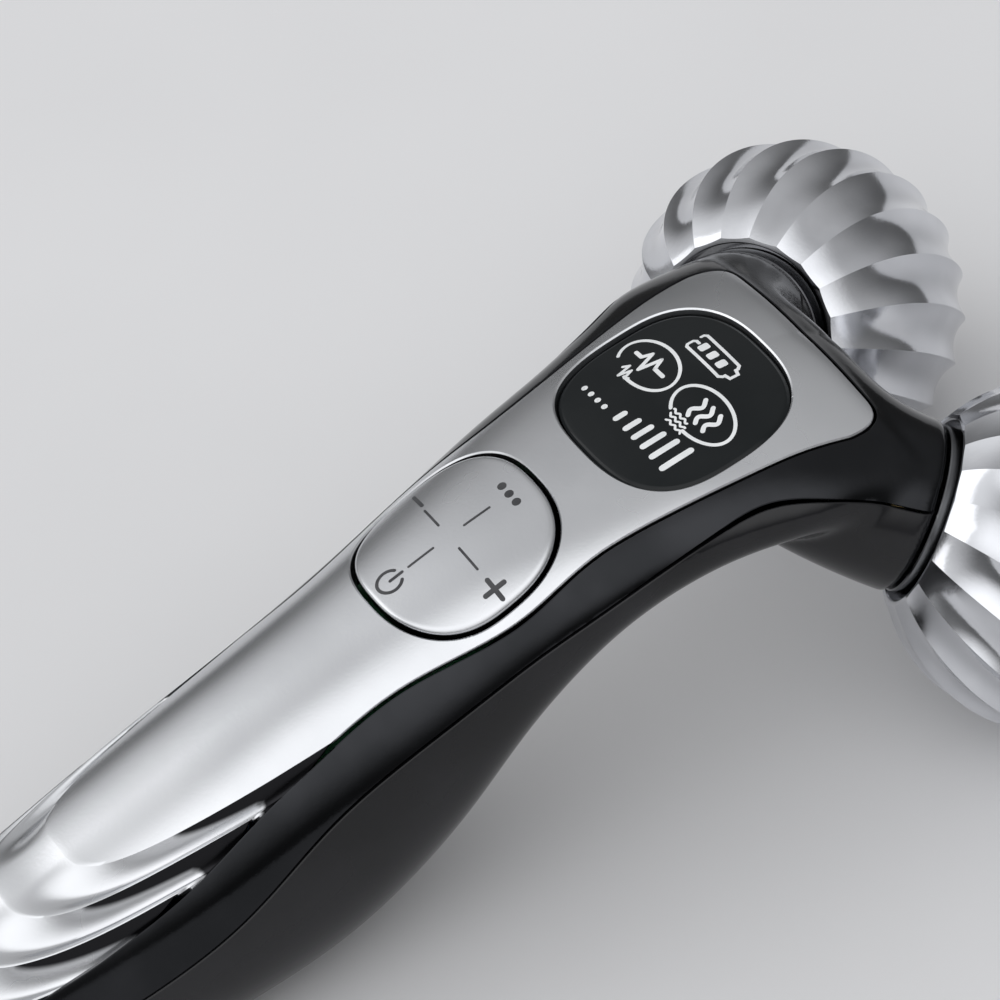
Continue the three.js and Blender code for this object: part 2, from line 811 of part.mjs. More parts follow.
// How deep the flutes are at a share of the radius along the axle: shallow at the mouth and
// nothing at the pole
function fluteFade(share) {
  const { mouth, full, falling, pole } = fluteFadeShares;
  const rise = THREE.MathUtils.smoothstep(share, mouth, full);
  const fall = 1 - THREE.MathUtils.smoothstep(share, falling, pole);
  return THREE.MathUtils.lerp(fluteMouthShare, 1, rise) * fall;
}

// Fluted ball: hollow flutes between crisp crests, which sweep round the axle more and more from
// the mouth to the hub
function ball(frame) {
  const outline = ballOutline();
  const geometry = new THREE.LatheGeometry(outline, ballFlutes * fluteSteps);
  const position = geometry.attributes.position;
  const point = new THREE.Vector3();
  for (let i = 0; i < position.count; i++) {
    point.fromBufferAttribute(position, i);
    const column = Math.floor(i / outline.length);
    const share = point.y / ballRadius;
    const across = (column % fluteSteps) / fluteSteps;
    const hollow = 1 - (2 * across - 1) ** 2;
    const radius = Math.hypot(point.x, point.z);
    const depth = ballFluteDepth * fluteFade(share) * hollow;
    const scale = radius > 0 ? (radius - depth) / radius : 1;
    point.multiply(new THREE.Vector3(scale, 1, scale));
    point.applyAxisAngle(ahead, ballFluteTwist * ((1 + share) / 2) ** 2);
    position.setXYZ(i, point.x, point.y, point.z);
  }
  const mouth = outline[0].y;
  return solid(geometry, frame)
    .subtract(rod(ballMouthRadius, mouth - overrun, collarTo + gap, frame))
    .subtract(rod(bearingRadius + gap, mouth - overrun, ballRadius + overrun, frame))
    .subtract(rod(hubRadius + gap, hubPlane, ballRadius + overrun, frame));
}

const collarFrom = -armReach + gap;
const collarTo = collarFrom + collarWidth;
const hubPlane = ballRadius - hubSeat - hubWidth;
const axleOutside = hubPlane - axleScrewRoom - screwHeadHeight - gap;

function roller({ name, frame }) {
  const inner = axleRadius + gap;
  piece(name + "_roller_ball", finishes.chrome, ball(frame));
  const seat = hubPlane + gap;
  const rim = seat + hubWidth;
  const hub = turned(
    [
      [0, seat],
      [hubRadius, seat],
      [hubRadius, rim],
      [hubRadius / 2, rim + hubCrown],
      [0, rim + hubCrown],
    ],
    frame,
  );
  piece(name + "_hub_cap", finishes.chrome, hub);
  const far = axleOutside - bearingInset;
  const near = far - bearingWidth;
  const innerBearing = tube(inner, bearingRadius, -far, -near, frame);
  const outerBearing = tube(inner, bearingRadius, near, far, frame);
  piece(name + "_inner_bearing", finishes.steel, innerBearing);
  piece(name + "_outer_bearing", finishes.steel, outerBearing);
  const axle = rod(axleRadius, -armReach - axleInside, axleOutside, frame);
  const deep = axleOutside - screwShankLength;
  const tapped = rod(screwShankRadius + gap, deep - gap, axleOutside + overrun, frame, smallSides);
  piece(name + "_axle", finishes.steel, axle.subtract(tapped));
  const headFrom = axleOutside + gap;
  const head = rod(screwHeadRadius, headFrom, headFrom + screwHeadHeight, frame);
  const shank = rod(screwShankRadius, deep, headFrom + gap, frame, smallSides);
  piece(name + "_axle_screw", finishes.steel, head.add(shank));
  const contactFrom = -armReach - contactDepth - contactWidth;
  const contact = tube(inner, contactRadius, contactFrom, contactFrom + contactWidth, frame);
  piece(name + "_contact_ring", finishes.brass, contact);
  const collar = tube(inner, collarRadius, collarFrom, collarTo, frame);
  piece(name + "_collar", finishes.chrome, collar);
}

function housingScrews() {
  for (const { name, x, y, seat, length } of fixings) {
    for (const [side, at] of [["left", -x], ["right", x]]) {
      const frame = uprightFrame(at, y);
      const head = rod(fixingHeadRadius, seat - fixingHeadHeight, seat, frame, smallSides);
      const shank = rod(fixingShankRadius, seat - gap, seat + length, frame, smallSides);
      const slot = block(
        2 * fixingSlotHalfWidth,
        2 * fixingSlotDepth,
        2 * fixingHeadRadius + gap,
        0,
        seat - fixingHeadHeight,
        0,
        frame,
      );
      piece("housing_screw_" + name + "_" + side, finishes.steel, head.add(shank).subtract(slot));
    }
  }
}

housings();
topCover();
display();
buttonPad();
electronics();
endCap();
rollers.forEach(roller);
housingScrews();

export default group;
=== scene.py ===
"""Looks of the hand-held massage roller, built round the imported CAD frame.

Shapes are worked out in millimetres with Y measured from the middle of the button pad, as in the
part's own source, and are moved to the frame's metres when they become meshes.
"""

import json
import math

import bpy
import numpy as np
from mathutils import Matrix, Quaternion, Vector


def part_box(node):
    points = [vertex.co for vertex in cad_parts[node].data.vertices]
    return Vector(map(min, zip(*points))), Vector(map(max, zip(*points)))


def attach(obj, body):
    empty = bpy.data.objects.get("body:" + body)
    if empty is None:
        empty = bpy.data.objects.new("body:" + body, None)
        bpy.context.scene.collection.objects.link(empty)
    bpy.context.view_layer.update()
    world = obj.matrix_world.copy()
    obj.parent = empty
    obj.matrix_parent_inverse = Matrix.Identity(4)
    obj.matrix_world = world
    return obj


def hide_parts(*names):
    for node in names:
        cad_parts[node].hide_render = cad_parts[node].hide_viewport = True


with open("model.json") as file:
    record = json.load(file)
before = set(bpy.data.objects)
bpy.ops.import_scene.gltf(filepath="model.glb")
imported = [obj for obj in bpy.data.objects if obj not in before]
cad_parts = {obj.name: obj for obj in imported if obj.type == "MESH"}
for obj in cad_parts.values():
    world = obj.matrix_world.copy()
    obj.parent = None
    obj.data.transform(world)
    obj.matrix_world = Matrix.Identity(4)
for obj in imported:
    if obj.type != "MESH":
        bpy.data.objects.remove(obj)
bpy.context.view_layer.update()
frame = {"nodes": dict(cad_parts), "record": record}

MM = 0.001
# place of the pad's middle along the frame's Y
PAD_SHIFT = 11.9

# ---------------------------------------------------------------- camera
# fitted to the two balls, the pad, the window and the outline in the photograph
camera_data = bpy.data.cameras.new("camera")
camera_data.sensor_fit = "HORIZONTAL"
camera_data.sensor_width = 36
camera_data.lens = 195.03
camera = bpy.data.objects.new("camera", camera_data)
camera.rotation_mode = "QUATERNION"
camera.rotation_quaternion = Quaternion((0.813943, 0.290518, 0.270426, 0.424223))
camera.location = (0.431771, -0.134150, 0.476138)
bpy.context.scene.collection.objects.link(camera)
bpy.context.scene.camera = camera
bpy.context.scene.view_settings.view_transform = "Standard"

# ---------------------------------------------------------------- sizes in millimetres
# the solids' own numbers for the body
BALL_RADIUS = 21.0
BALL_SPACING = 57.6
BALL_AHEAD = 62.2
ARM_SPLAY = math.radians(36)
ARM_DIP = math.radians(32)
ARM_REACH = 18.5
ARM_RADIUS = 10.6
BAR_AHEAD = 40.5
BAR_TOP = 47.3
BAR_HALF_DEPTH = 12.6
BAR_HALF_HEIGHT = 7.5
BAR_TILT = math.radians(8)
BAR_STRAIGHT = 9.0
BAR_POWER = 2.6
HANDLE_END = -107.0
DOME_LENGTH = 17.0
DOME_POWER = 2.4
DOME_SHARE = 0.86
NECK_END = 48.0
BODY_POWER = 2.25
GAP = 0.3
# place along Y, half width, top, bottom, parting share
SECTIONS = np.array([
    (-107, 12.2, 25.2, 1.8, 0.04),
    (-88, 12.8, 26.8, 0.3, 0.05),
    (-68, 13.8, 29.2, 0.05, 0.06),
    (-45, 16.3, 34.2, 0.35, 0.2),
    (-28, 16.7, 38.2, 2.4, 0.44),
    (-14, 17, 41.2, 9.6, 0.44),
    (0, 17.2, 44.2, 21.6, 0.31),
    (12, 18.2, 45.9, 29.6, 0.21),
    (24, 19.8, 47.1, 32.8, 0.33),
    (31, 21.9, 47.4, 33.6, 0.48),
    (38, 24.4, 47.4, 33.8, 0.3),
    (48, 23, 45.6, 34, -0.5),
])
# half width and place of the cover's edge: towards the rear up to 1.2 wider than the solid's
COVER_EDGE = np.array([
    (9.8, -94), (11.3, -72), (12.5, -58), (12.9, -46), (11.7, -32), (11.2, -16), (13.8, 0), (13.7, 14),
    (16.4, 33), (18.2, 44),
])
COVER_FRONT = 49.0
COVER_BACK = -98.0
COVER_CORNER = 4.0
# wall and rim of the cover's skin, and the grid that it is cut from
COVER_WALL = 1.5
COVER_BEVEL = 0.18
COVER_RIM_PASSES = 8
COVER_COLUMNS = 261
COVER_REACH = 1.9
COVER_ROWS_FROM = 50.6
COVER_ROW_STEP = 0.55
COVER_ROWS_STRAIGHT = 30.0
# a height that is clear above the body
ABOVE = 60.0
# the grip lobes, with the solid's numbers
LOBE_FIRST = -56.3
LOBE_LAST = -100.0
LOBE_PITCH = 8.5
LOBE_REACH = 21.0
LOBE_POWER = 4
LOBE_HALF_WIDTH = 10.0
LOBE_MOST_HALF_WIDTH = 13.5
LOBE_FLARE = 0.13
LOBE_MOST_SHARE = 1.2
LOBE_SIDE_DEPTH = 1.7
LOBE_MIDDLE_DEPTH = 0.2
LOBE_WALL_SHARE = 0.45
LOBE_SIDE_SHARES = (0.2, 0.9)
LOBE_FADE_SHARES = (1.05, 1.18)
# places of the rows across a lobe, closer together under its crest, and those behind the last lobe
LOBE_ROWS = (0, 0.012, 0.03, 0.06, 0.1, 0.15, 0.2, 0.26, 0.32, 0.38, 0.45, 0.53, 0.61, 0.7, 0.79, 0.88, 0.955)
LOBE_TAIL = (-100.6, -101.4, -102.4, -103.5)
# the painted shade on the wall under a crest: where it starts on the first three lobes and where it ends, as
# shares of the half width; how much of the pitch it takes, the curve that it grows by, where it widens to the
# whole pitch, and the most that the mesh attribute holds
SHADE_FROM = (0.86, 0.76, 0.72)
SHADE_TO = 1.08
SHADE_SHARE = 0.27
SHADE_CURVE = 0.6
SHADE_WIDENS = (0.76, 1.08)
SHADE_MOST = 0.5
PAD_PITCH = math.radians(11.7)
PAD_HALF = (11.9, 11.7)
PAD_POWER = 2.5
PAD_GAP = 0.6
PAD_LIFT = 0.22
PAD_EDGE_FROM = 0.952
PAD_EDGE_DROP = 0.55
# how far down the pad's skirt turns to painted shade
PAD_SHADE_DROPS = (0.3, 0.6)
WINDOW_AHEAD = 31.0
WINDOW_PITCH = math.radians(2.5)
WINDOW_HALF = (13.6, 12.4)
WINDOW_POWER = 2.7
WINDOW_GAP = 0.35
WINDOW_RECESS = 0.6
PLATE_COLUMNS = 144
PLATE_SHARP = 40.0
FLUTES = 20
FLUTE_DEPTH = 1.1
FLUTE_TWIST = math.radians(40)
# depth of the flutes near the mouth, and where they deepen and run out along the ball, as shares
FLUTE_LEAST = 0.22
FLUTE_DEEPENS = (-0.84, -0.3)
FLUTE_ENDS = (0.6, 0.92)
# places of the points across a flute, closer together at its crests
FLUTE_PLACES = np.array([
    0, 0.018, 0.045, 0.09, 0.15, 0.22, 0.3, 0.4, 0.5, 0.6, 0.7, 0.78, 0.85, 0.91, 0.955, 0.982,
])
BALL_ROWS = 90
# painted shade: the most in a flute's hollow and in the hub's seat, and inside the mouth
BALL_SHADE = 0.3
MOUTH_SHADE = 0.5
BALL_EDGE = 0.15
MOUTH_RADIUS = 11.2
MOUTH_LIP = 0.8
BORE_RADIUS = 5.7
HUB_RADIUS = 7.4
HUB_SEAT = 1.9
HUB_WIDTH = 1.5
HUB_CROWN = 0.35
HUB_CROWN_EDGE = 0.25
HUB_CROWN_STEPS = 10
COLLAR_RADIUS = 10.3
COLLAR_WIDTH = 2.5
COLLAR_BORE = 3.3
COLLAR_EDGE = 0.15
ROUND_SIDES = 96
# the screws from below: place across, place along Y, depth of the bore's wall
FIXINGS = [(9.0, 15.5, 3.6), (7.2, -92.0, 6.4)]
FIXING_RADIUS = 2.6
FIXING_WALL_REACH = 3.4
SEAT_HOLE = 1.25
SEAT_RADIUS = 2.75
SEAT_HEIGHT = 1.55
SEAT_BELOW = 2.0
SEAT_SIDES = 32
END_CAP_LENGTH = 6.0
SOCKET_HALF = (4.8, 1.9)
SOCKET_POWER = 6.0
SOCKET_REACH = 3.0
SHELL_BEVEL = 0.12
SHELL_WALL = 2.0
# two corners of the grid that the body's surface is found in, and its step
SHELL_NET = ((-31.5, -109, -2), (31.5, 66, 50), 1.0)
# a distance that leaves a point out of a cut
FAR = 9.0
# the least share of an edge that a cut keeps, so that no point falls on another
CUT_LEAST = 0.03

# ---------------------------------------------------------------- how the body's parts run together
SECTION_STEP = 0.25
SECTION_SMOOTHING = 2.5
HANDLE_END_ROUND = 0.8
NECK_END_ROUND = 2.0
ARM_END_ROUND = 1.2
BAR_COUNT = 800
BAR_FROM = 12.0
BLEND = 2.5

# ---------------------------------------------------------------- marks, floor, finishes and sky
PRINT_LIFT = 0.025
LIT_LIFT = 0.02
STROKE_STEP = 0.35
STROKE_CAP = 6
# in metres, as the frame
FLOOR_HALF = 3.0
FLOOR_DROP = 0.0002
RELIEF_HEIGHT = 0.0002
SMUDGE_SCALE = 0.45
SKY_LOW, SKY_HIGH = 0.14, 0.55
# soft boxes: direction, strength, and the cosines between which each one rises
SOFT_BOXES = [((-0.55, -0.6, 0.58), 0.55, 0.66, 0.98), ((0.55, -0.35, 0.76), 1.0, 0.62, 0.95)]


# ---------------------------------------------------------------- the body as a distance field
def cubic(table, at):
    """The same smooth curve through the sections as the solids use."""
    t, v = table[:, 0], table[:, 1:]
    i = np.clip(np.searchsorted(t, at, side="right"), 1, len(t) - 1)
    t0, t1 = t[i - 1], t[i]
    first, last = i - 2 < 0, i + 1 >= len(t)
    before = np.where(first, i, i - 2)
    after = np.where(last, i - 1, i + 1)
    tp = np.where(first, t1, t[np.maximum(i - 2, 0)])
    tn = np.where(last, t0, t[np.minimum(i + 1, len(t) - 1)])
    half = (t1 - t0) / 2
    wp, wn = half / (t0 - tp), half / (tn - t1)
    p = (at - t0) / (t1 - t0)
    p2, p3 = p * p, p * p * p
    sp = -wp * p3 + 2 * wp * p2 - wp * p
    s0 = (1 + wp) * p3 + (-1.5 - 2 * wp) * p2 + (-0.5 + wp) * p + 1
    s1 = (-1 - wn) * p3 + (1.5 + wn) * p2 + 0.5 * p
    sn = wn * p3 - wn * p2
    return sp[:, None] * v[before] + s0[:, None] * v[i - 1] + s1[:, None] * v[i] + sn[:, None] * v[after]


def smoothed(values, sigma, step):
    """Values evened out by a bell curve, with both ends carried on at their own slope."""
    n = int(4 * sigma / step)
    kernel = np.exp(-0.5 * (np.arange(-n, n + 1) * step / sigma) ** 2)
    kernel /= kernel.sum()
    head = 2 * values[0] - values[n:0:-1]
    tail = 2 * values[-1] - values[-2 : -n - 2 : -1]
    return np.convolve(np.concatenate([head, values, tail]), kernel, "valid")


SECTION_Y = np.arange(HANDLE_END, NECK_END + 0.1, SECTION_STEP)
SECTION_V = np.stack([smoothed(c, SECTION_SMOOTHING, SECTION_STEP) for c in cubic(SECTIONS, SECTION_Y).T], 1)


def section(y):
    """Half width, middle, half height and parting height at places along Y."""
    hw, top, bottom, share = (np.interp(y, SECTION_Y, SECTION_V[:, k]) for k in range(4))
    middle, half = (top + bottom) / 2, (top - bottom) / 2
    return hw, middle, half, middle + share * half


def smoothstep(x, a=0.0, b=1.0):
    t = np.clip((x - a) / (b - a), 0, 1)
    return t * t * (3 - 2 * t)


def ray_distance(u, v, a, b, power):
    """Distance from a superellipse, measured along the ray from its middle."""
    radius = np.hypot(u, v)
    norm = ((np.abs(u) / a) ** power + (np.abs(v) / b) ** power) ** (1 / power)
    edge = np.where(norm > 1e-6, radius / np.maximum(norm, 1e-6), np.minimum(a, b))
    return radius - edge


def smooth_min(a, b, k):
    """The lesser of two distances, with a fillet of about a size where they meet."""
    h = np.clip(0.5 + 0.5 * (b - a) / k, 0, 1)
    return b * (1 - h) + a * h - k * h * (1 - h)


def handle_distance(p):
    """Distance from the handle and neck, with the handle's domed end."""
    x, y, z = p.T
    hw, middle, half, _ = section(y)
    share = np.clip((HANDLE_END + DOME_LENGTH - y) / DOME_LENGTH, 0, 1)
    dome = (1 - (share * DOME_SHARE) ** DOME_POWER) ** (1 / DOME_POWER)
    d = ray_distance(x, z - middle, hw * dome, half * dome, BODY_POWER)
    d = -smooth_min(-d, -(HANDLE_END - y), HANDLE_END_ROUND)
    return -smooth_min(-d, -(y - NECK_END), NECK_END_ROUND)


ARM = np.array([
    math.sin(ARM_SPLAY) * math.cos(ARM_DIP),
    math.cos(ARM_SPLAY) * math.cos(ARM_DIP),
    -math.sin(ARM_DIP),
])
BALL = np.array([BALL_SPACING / 2, BALL_AHEAD, BALL_RADIUS])
ARM_END = BALL - ARM * ARM_REACH


def unit(v):
    return v / np.linalg.norm(v, axis=-1, keepdims=True)


def bar_table():
    """Rows along the right half of the head bar: place, first and second slope, the directions along,
    across and up, and the half depth, half height and power of the outline."""
    t = np.linspace(0, 1, BAR_COUNT + 1)[:, None]
    a = np.array([0, BAR_AHEAD, BAR_TOP - BAR_HALF_HEIGHT])
    b = a + [BAR_STRAIGHT, 0, 0]
    c, d = ARM_END - ARM * BAR_STRAIGHT, ARM_END
    place = (1 - t) ** 3 * a + 3 * (1 - t) ** 2 * t * b + 3 * (1 - t) * t**2 * c + t**3 * d
    speed = 3 * (1 - t) ** 2 * (b - a) + 6 * (1 - t) * t * (c - b) + 3 * t**2 * (d - c)
    bend = 6 * (1 - t) * (c - 2 * b + a) + 6 * t * (d - 2 * c + b)
    along = unit(speed)
    wide = unit(np.stack([-along[:, 1], along[:, 0], 0 * along[:, 0]], 1))
    turn = -BAR_TILT * (1 - t) ** 2
    wide = wide * np.cos(turn) + np.cross(along, wide) * np.sin(turn)
    high = np.cross(along, wide)
    mix = smoothstep(t)
    shape = [BAR_HALF_DEPTH + (ARM_RADIUS - BAR_HALF_DEPTH) * mix,
             BAR_HALF_HEIGHT + (ARM_RADIUS - BAR_HALF_HEIGHT) * mix,
             BAR_POWER + (2 - BAR_POWER) * mix]
    return np.concatenate([place, speed, bend, along, wide, high, *shape], 1)


BAR = bar_table()


def bar_row(t):
    """The bar's row at shares of its curve, mixed from the two rows beside each."""
    at = np.clip(t, 0, 1) * BAR_COUNT
    i = np.minimum(at.astype(int), BAR_COUNT - 1)
    w = (at - i)[:, None]
    return BAR[i] * (1 - w) + BAR[i + 1] * w


def bar_distance(p):
    """Distance from the bar and arms, from the nearest point of the curve found in two steps."""
    q = p.copy()
    q[:, 0] = np.abs(q[:, 0])
    coarse = BAR[::20, 0:3]
    near = np.stack([((q - c) ** 2).sum(1) for c in coarse], 1).argmin(1)
    t = near * 20.0 / BAR_COUNT
    for _ in range(2):
        row = bar_row(t)
        off = q - row[:, 0:3]
        speed = row[:, 3:6]
        slope = (speed * speed).sum(1) - (off * row[:, 6:9]).sum(1)
        t = t + (off * speed).sum(1) / np.maximum(slope, 0.2 * (speed * speed).sum(1))
        t = np.clip(t, 0, 1)
    row = bar_row(t)
    off = q - row[:, 0:3]
    u, v = (off * row[:, 12:15]).sum(1), (off * row[:, 15:18]).sum(1)
    d = ray_distance(u, v, row[:, 18], row[:, 19], row[:, 20])
    past = (q - ARM_END) @ ARM
    return -smooth_min(-d, -past, ARM_END_ROUND)


def body_distance(p):
    """Distance from the whole body: the handle, with the bar and arms run into it."""
    d = handle_distance(p)
    near = p[:, 1] > BAR_FROM
    if near.any():
        d[near] = smooth_min(d[near], bar_distance(p[near]), BLEND)
    return d


def slope_of(v, h=0.02):
    """Distance from the body's surface at points, and how it changes along each axis."""
    d = body_distance(v)
    g = np.stack([(body_distance(v + e * h) - d) / h for e in np.eye(3)], 1)
    return d, g


def settle(v, steps):
    """Points moved on to the body's surface in a few steps."""
    for _ in range(steps):
        d, g = slope_of(v)
        v = v - (d / np.maximum((g * g).sum(1), 0.05))[:, None] * g
    return v


def drop(start, direction, reach):
    """Where rays that start outside and run for a reach meet the body's surface."""
    lo, hi = np.zeros(len(start)), np.full(len(start), float(reach))
    for _ in range(22):
        mid = (lo + hi) / 2
        inside = body_distance(start + mid[:, None] * direction) < 0
        hi = np.where(inside, mid, hi)
        lo = np.where(inside, lo, mid)
    return start + ((lo + hi) / 2)[:, None] * direction


def surface_net(lo, hi, step):
    """Quads round the body's surface, from a grid of its distance field."""
    axes = [np.arange(lo[k], hi[k] + step / 2, step) for k in range(3)]
    shape = tuple(len(a) for a in axes)
    f = body_distance(np.stack(np.meshgrid(*axes, indexing="ij"), -1).reshape(-1, 3)).reshape(shape)
    cells = tuple(n - 1 for n in shape)
    total, count = np.zeros(cells + (3,)), np.zeros(cells)
    edges = []
    for axis in range(3):
        a = np.take(f, range(shape[axis] - 1), axis)
        b = np.take(f, range(1, shape[axis]), axis)
        cross = (a < 0) != (b < 0)
        index = np.argwhere(cross)
        point = index.astype(float)
        point[:, axis] += (a / (a - b + (a == b)))[cross]
        o1, o2 = (axis + 1) % 3, (axis + 2) % 3
        ring = []
        for s1, s2 in ((-1, -1), (0, -1), (0, 0), (-1, 0)):
            cell = index.copy()
            cell[:, o1] += s1
            cell[:, o2] += s2
            ring.append(cell)
            np.add.at(total, tuple(cell.T), point)
            np.add.at(count, tuple(cell.T), 1)
        edges.append((ring, (a < 0)[cross]))
    used = count > 0
    ids = np.full(cells, -1)
    ids[used] = np.arange(used.sum())
    verts = total[used] / count[used][:, None] * step + np.array(lo)
    quads = []
    for ring, out in edges:
        q = np.stack([ids[tuple(c.T)] for c in ring], 1)
        quads.append(np.where(out[:, None], q, q[:, ::-1]))
    return verts, np.concatenate(quads)


def quarter(v, q):
    """Each quad cut in four."""
    e = np.sort(np.stack([q, np.roll(q, -1, 1)], -1).reshape(-1, 2), 1)
    uniq, inv = np.unique(e, axis=0, return_inverse=True)
    m = len(v) + inv.reshape(-1, 4)
    c = len(v) + len(uniq) + np.arange(len(q))
    parts = [np.stack([q[:, k], m[:, k], c, m[:, k - 1]], 1) for k in range(4)]
    return np.concatenate([v, v[uniq].mean(1), v[q].mean(1)]), np.concatenate(parts)


# ---------------------------------------------------------------- cutting and edging meshes
def triangles(q):
    """Quads cut into triangles."""
    return np.concatenate([q[:, [0, 1, 2]], q[:, [0, 2, 3]]])


def clip(v, t, value):
    """The part of a triangle mesh where a value at its points is positive."""
    keep = value > 0
    inside = keep[t]
    count = inside.sum(1)
    out = [t[count == 3]]
    cache_a, cache_b = [], []
    base = len(v)

    def cut(a, b):
        start = base + sum(len(c) for c in cache_a)
        cache_a.append(a)
        cache_b.append(b)
        return np.arange(start, start + len(a))

    for k in range(3):
        a, b, c = k, (k + 1) % 3, (k + 2) % 3
        one = t[(count == 1) & inside[:, a]]
        if len(one):
            ab, ac = cut(one[:, a], one[:, b]), cut(one[:, a], one[:, c])
            out.append(np.stack([one[:, a], ab, ac], 1))
        two = t[(count == 2) & ~inside[:, a]]
        if len(two):
            ba, ca = cut(two[:, b], two[:, a]), cut(two[:, c], two[:, a])
            out.append(np.stack([two[:, b], two[:, c], ca], 1))
            out.append(np.stack([two[:, b], ca, ba], 1))
    t = np.concatenate(out)
    if cache_a:
        a, b = np.concatenate(cache_a), np.concatenate(cache_b)
        w = np.clip(value[a] / (value[a] - value[b]), CUT_LEAST, 1)[:, None]
        fresh = v[a] * (1 - w) + v[b] * w
        key = a * (base + 1) + b
        _, first, inv = np.unique(key, return_index=True, return_inverse=True)
        v = np.concatenate([v, fresh[first]])
        remap = np.concatenate([np.arange(base), base + inv.reshape(-1)])
        t = remap[t]
    used, inv = np.unique(t, return_inverse=True)
    t = inv.reshape(-1, 3)
    t = t[(t[:, 0] != t[:, 1]) & (t[:, 1] != t[:, 2]) & (t[:, 2] != t[:, 0])]
    return v[used], t


def vertex_normals(v, t):
    """The outward directions of a triangle mesh at its points."""
    n = np.cross(v[t[:, 1]] - v[t[:, 0]], v[t[:, 2]] - v[t[:, 0]])
    out = np.zeros_like(v)
    for k in range(3):
        np.add.at(out, t[:, k], n)
    return out / np.maximum(np.linalg.norm(out, axis=1, keepdims=True), 1e-12)


def evened(values, pair, passes):
    """Directions at the points of a rim, evened out between neighbours."""
    for _ in range(passes):
        around = np.zeros_like(values)
        np.add.at(around, pair[:, 0], values[pair[:, 1]])
        np.add.at(around, pair[:, 1], values[pair[:, 0]])
        values = unit(values + 0.5 * around + 1e-12)
    return values


def rimmed(v, t, bevel, depth, passes=3):
    """A mesh with a small chamfer and an inward wall along its open edges. Depth may be one
    value a point, and columns after the third are carried along."""
    extra, v = v[:, 3:], v[:, :3]
    e = np.concatenate([t[:, [0, 1]], t[:, [1, 2]], t[:, [2, 0]]])
    key = e[:, 0].astype(np.int64) * len(v) + e[:, 1]
    back = e[:, 1].astype(np.int64) * len(v) + e[:, 0]
    edge = e[~np.isin(key, back)]
    n = vertex_normals(v, t)
    out = np.zeros_like(v)
    side = np.cross(v[edge[:, 1]] - v[edge[:, 0]], n[edge[:, 0]])
    for k in range(2):
        np.add.at(out, edge[:, k], side)
    rim = np.unique(edge)
    local = np.full(len(v), -1)
    local[rim] = np.arange(len(rim))
    pair = local[edge]
    outward = evened(out[rim], pair, passes)
    inward = evened(-n[rim], pair, passes)
    deep = np.broadcast_to(np.asarray(depth, float), (len(v),))[rim][:, None]
    ring1 = v[rim] + outward * bevel + inward * bevel
    ring2 = ring1 + inward * deep
    r1, r2 = len(v) + pair, len(v) + len(rim) + pair
    quads = [np.stack([edge[:, 1], edge[:, 0], r1[:, 0], r1[:, 1]], 1),
             np.stack([r1[:, 1], r1[:, 0], r2[:, 0], r2[:, 1]], 1)]
    faces = [t] + [triangles(q) for q in quads]
    carried = np.concatenate([extra, extra[rim], extra[rim]])
    return np.hstack([np.concatenate([v, ring1, ring2]), carried]), np.concatenate(faces)


def outline_points():
    """The silver cover's outline, as a closed run of points seen from above."""
    side = COVER_EDGE

    def through(points, steps=12):
        out = []
        for i in range(len(points) - 1):
            p0, p1 = points[max(i - 1, 0)], points[i]
            p2, p3 = points[i + 1], points[min(i + 2, len(points) - 1)]
            for w in np.arange(steps) / steps:
                v0, v1 = (p2 - p0) / 2, (p3 - p1) / 2
                out.append((2 * p1 - 2 * p2 + v0 + v1) * w**3
                           + (-3 * p1 + 3 * p2 - 2 * v0 - v1) * w**2 + v0 * w + p1)
        return out

    def bent(a, b, c, steps=16):
        return [a * (1 - w) ** 2 + 2 * b * w * (1 - w) + c * w * w for w in np.arange(steps) / steps]

    last, first = side[-1], side[0]
    right = through(side)
    right += bent(last, np.array([last[0], COVER_FRONT]), np.array([last[0] - COVER_CORNER, COVER_FRONT]))
    tail = bent(np.array([0, COVER_BACK]), np.array([first[0], COVER_BACK]), first)
    right = tail + right + [np.array([last[0] - COVER_CORNER, COVER_FRONT])]
    right = np.array(right)
    left = right[::-1] * [-1, 1]
    return np.concatenate([right, left[:-1]])


OUTLINE = outline_points()


def outline_distance(x, y):
    """Signed distance from the cover's outline, seen from above: negative inside."""
    a, b = OUTLINE, np.roll(OUTLINE, -1, 0)
    best = np.full(len(x), 1e9)
    inside = np.zeros(len(x), bool)
    for (ax, ay), (bx, by) in zip(a, b):
        dx, dy = bx - ax, by - ay
        length = dx * dx + dy * dy
        if length < 1e-12:
            continue
        w = np.clip(((x - ax) * dx + (y - ay) * dy) / length, 0, 1)
        best = np.minimum(best, (x - ax - w * dx) ** 2 + (y - ay - w * dy) ** 2)
        if ay != by:
            hit = ((ay > y) != (by > y)) & (x < dx * (y - ay) / dy + ax)
            inside ^= hit
    return np.where(inside, -1, 1) * np.sqrt(best)


class Plane:
    """A tilted plane that a pad or window lies in: its own x and y, and its outward direction."""

    def __init__(self, ahead, pitch):
        _, middle, half, _ = section(np.array([ahead]))
        self.origin = np.array([0, ahead, middle[0] + half[0]])
        self.along = np.array([0, math.cos(pitch), math.sin(pitch)])
        self.out = np.array([0, -math.sin(pitch), math.cos(pitch)])

    def local(self, v):
        off = v - self.origin
        return off[:, 0], off @ self.along

    def lift(self, x, y, height=0.0):
        """Points on the body's surface over places in the plane, raised by a height."""
        x, y = np.asarray(x, float), np.asarray(y, float)
        start = self.origin + np.outer(x, [1, 0, 0]) + np.outer(y, self.along) + self.out * 6
        return drop(start, -self.out, 14) + np.outer(np.broadcast_to(height, x.shape), self.out)


PAD = Plane(0.0, PAD_PITCH)
WINDOW = Plane(WINDOW_AHEAD, WINDOW_PITCH)


# ---------------------------------------------------------------- materials
def new_material(name):
    mat = bpy.data.materials.new(name)
    mat.use_nodes = True
    tree = mat.node_tree
    shader = tree.nodes["Principled BSDF"]
    return mat, tree, shader


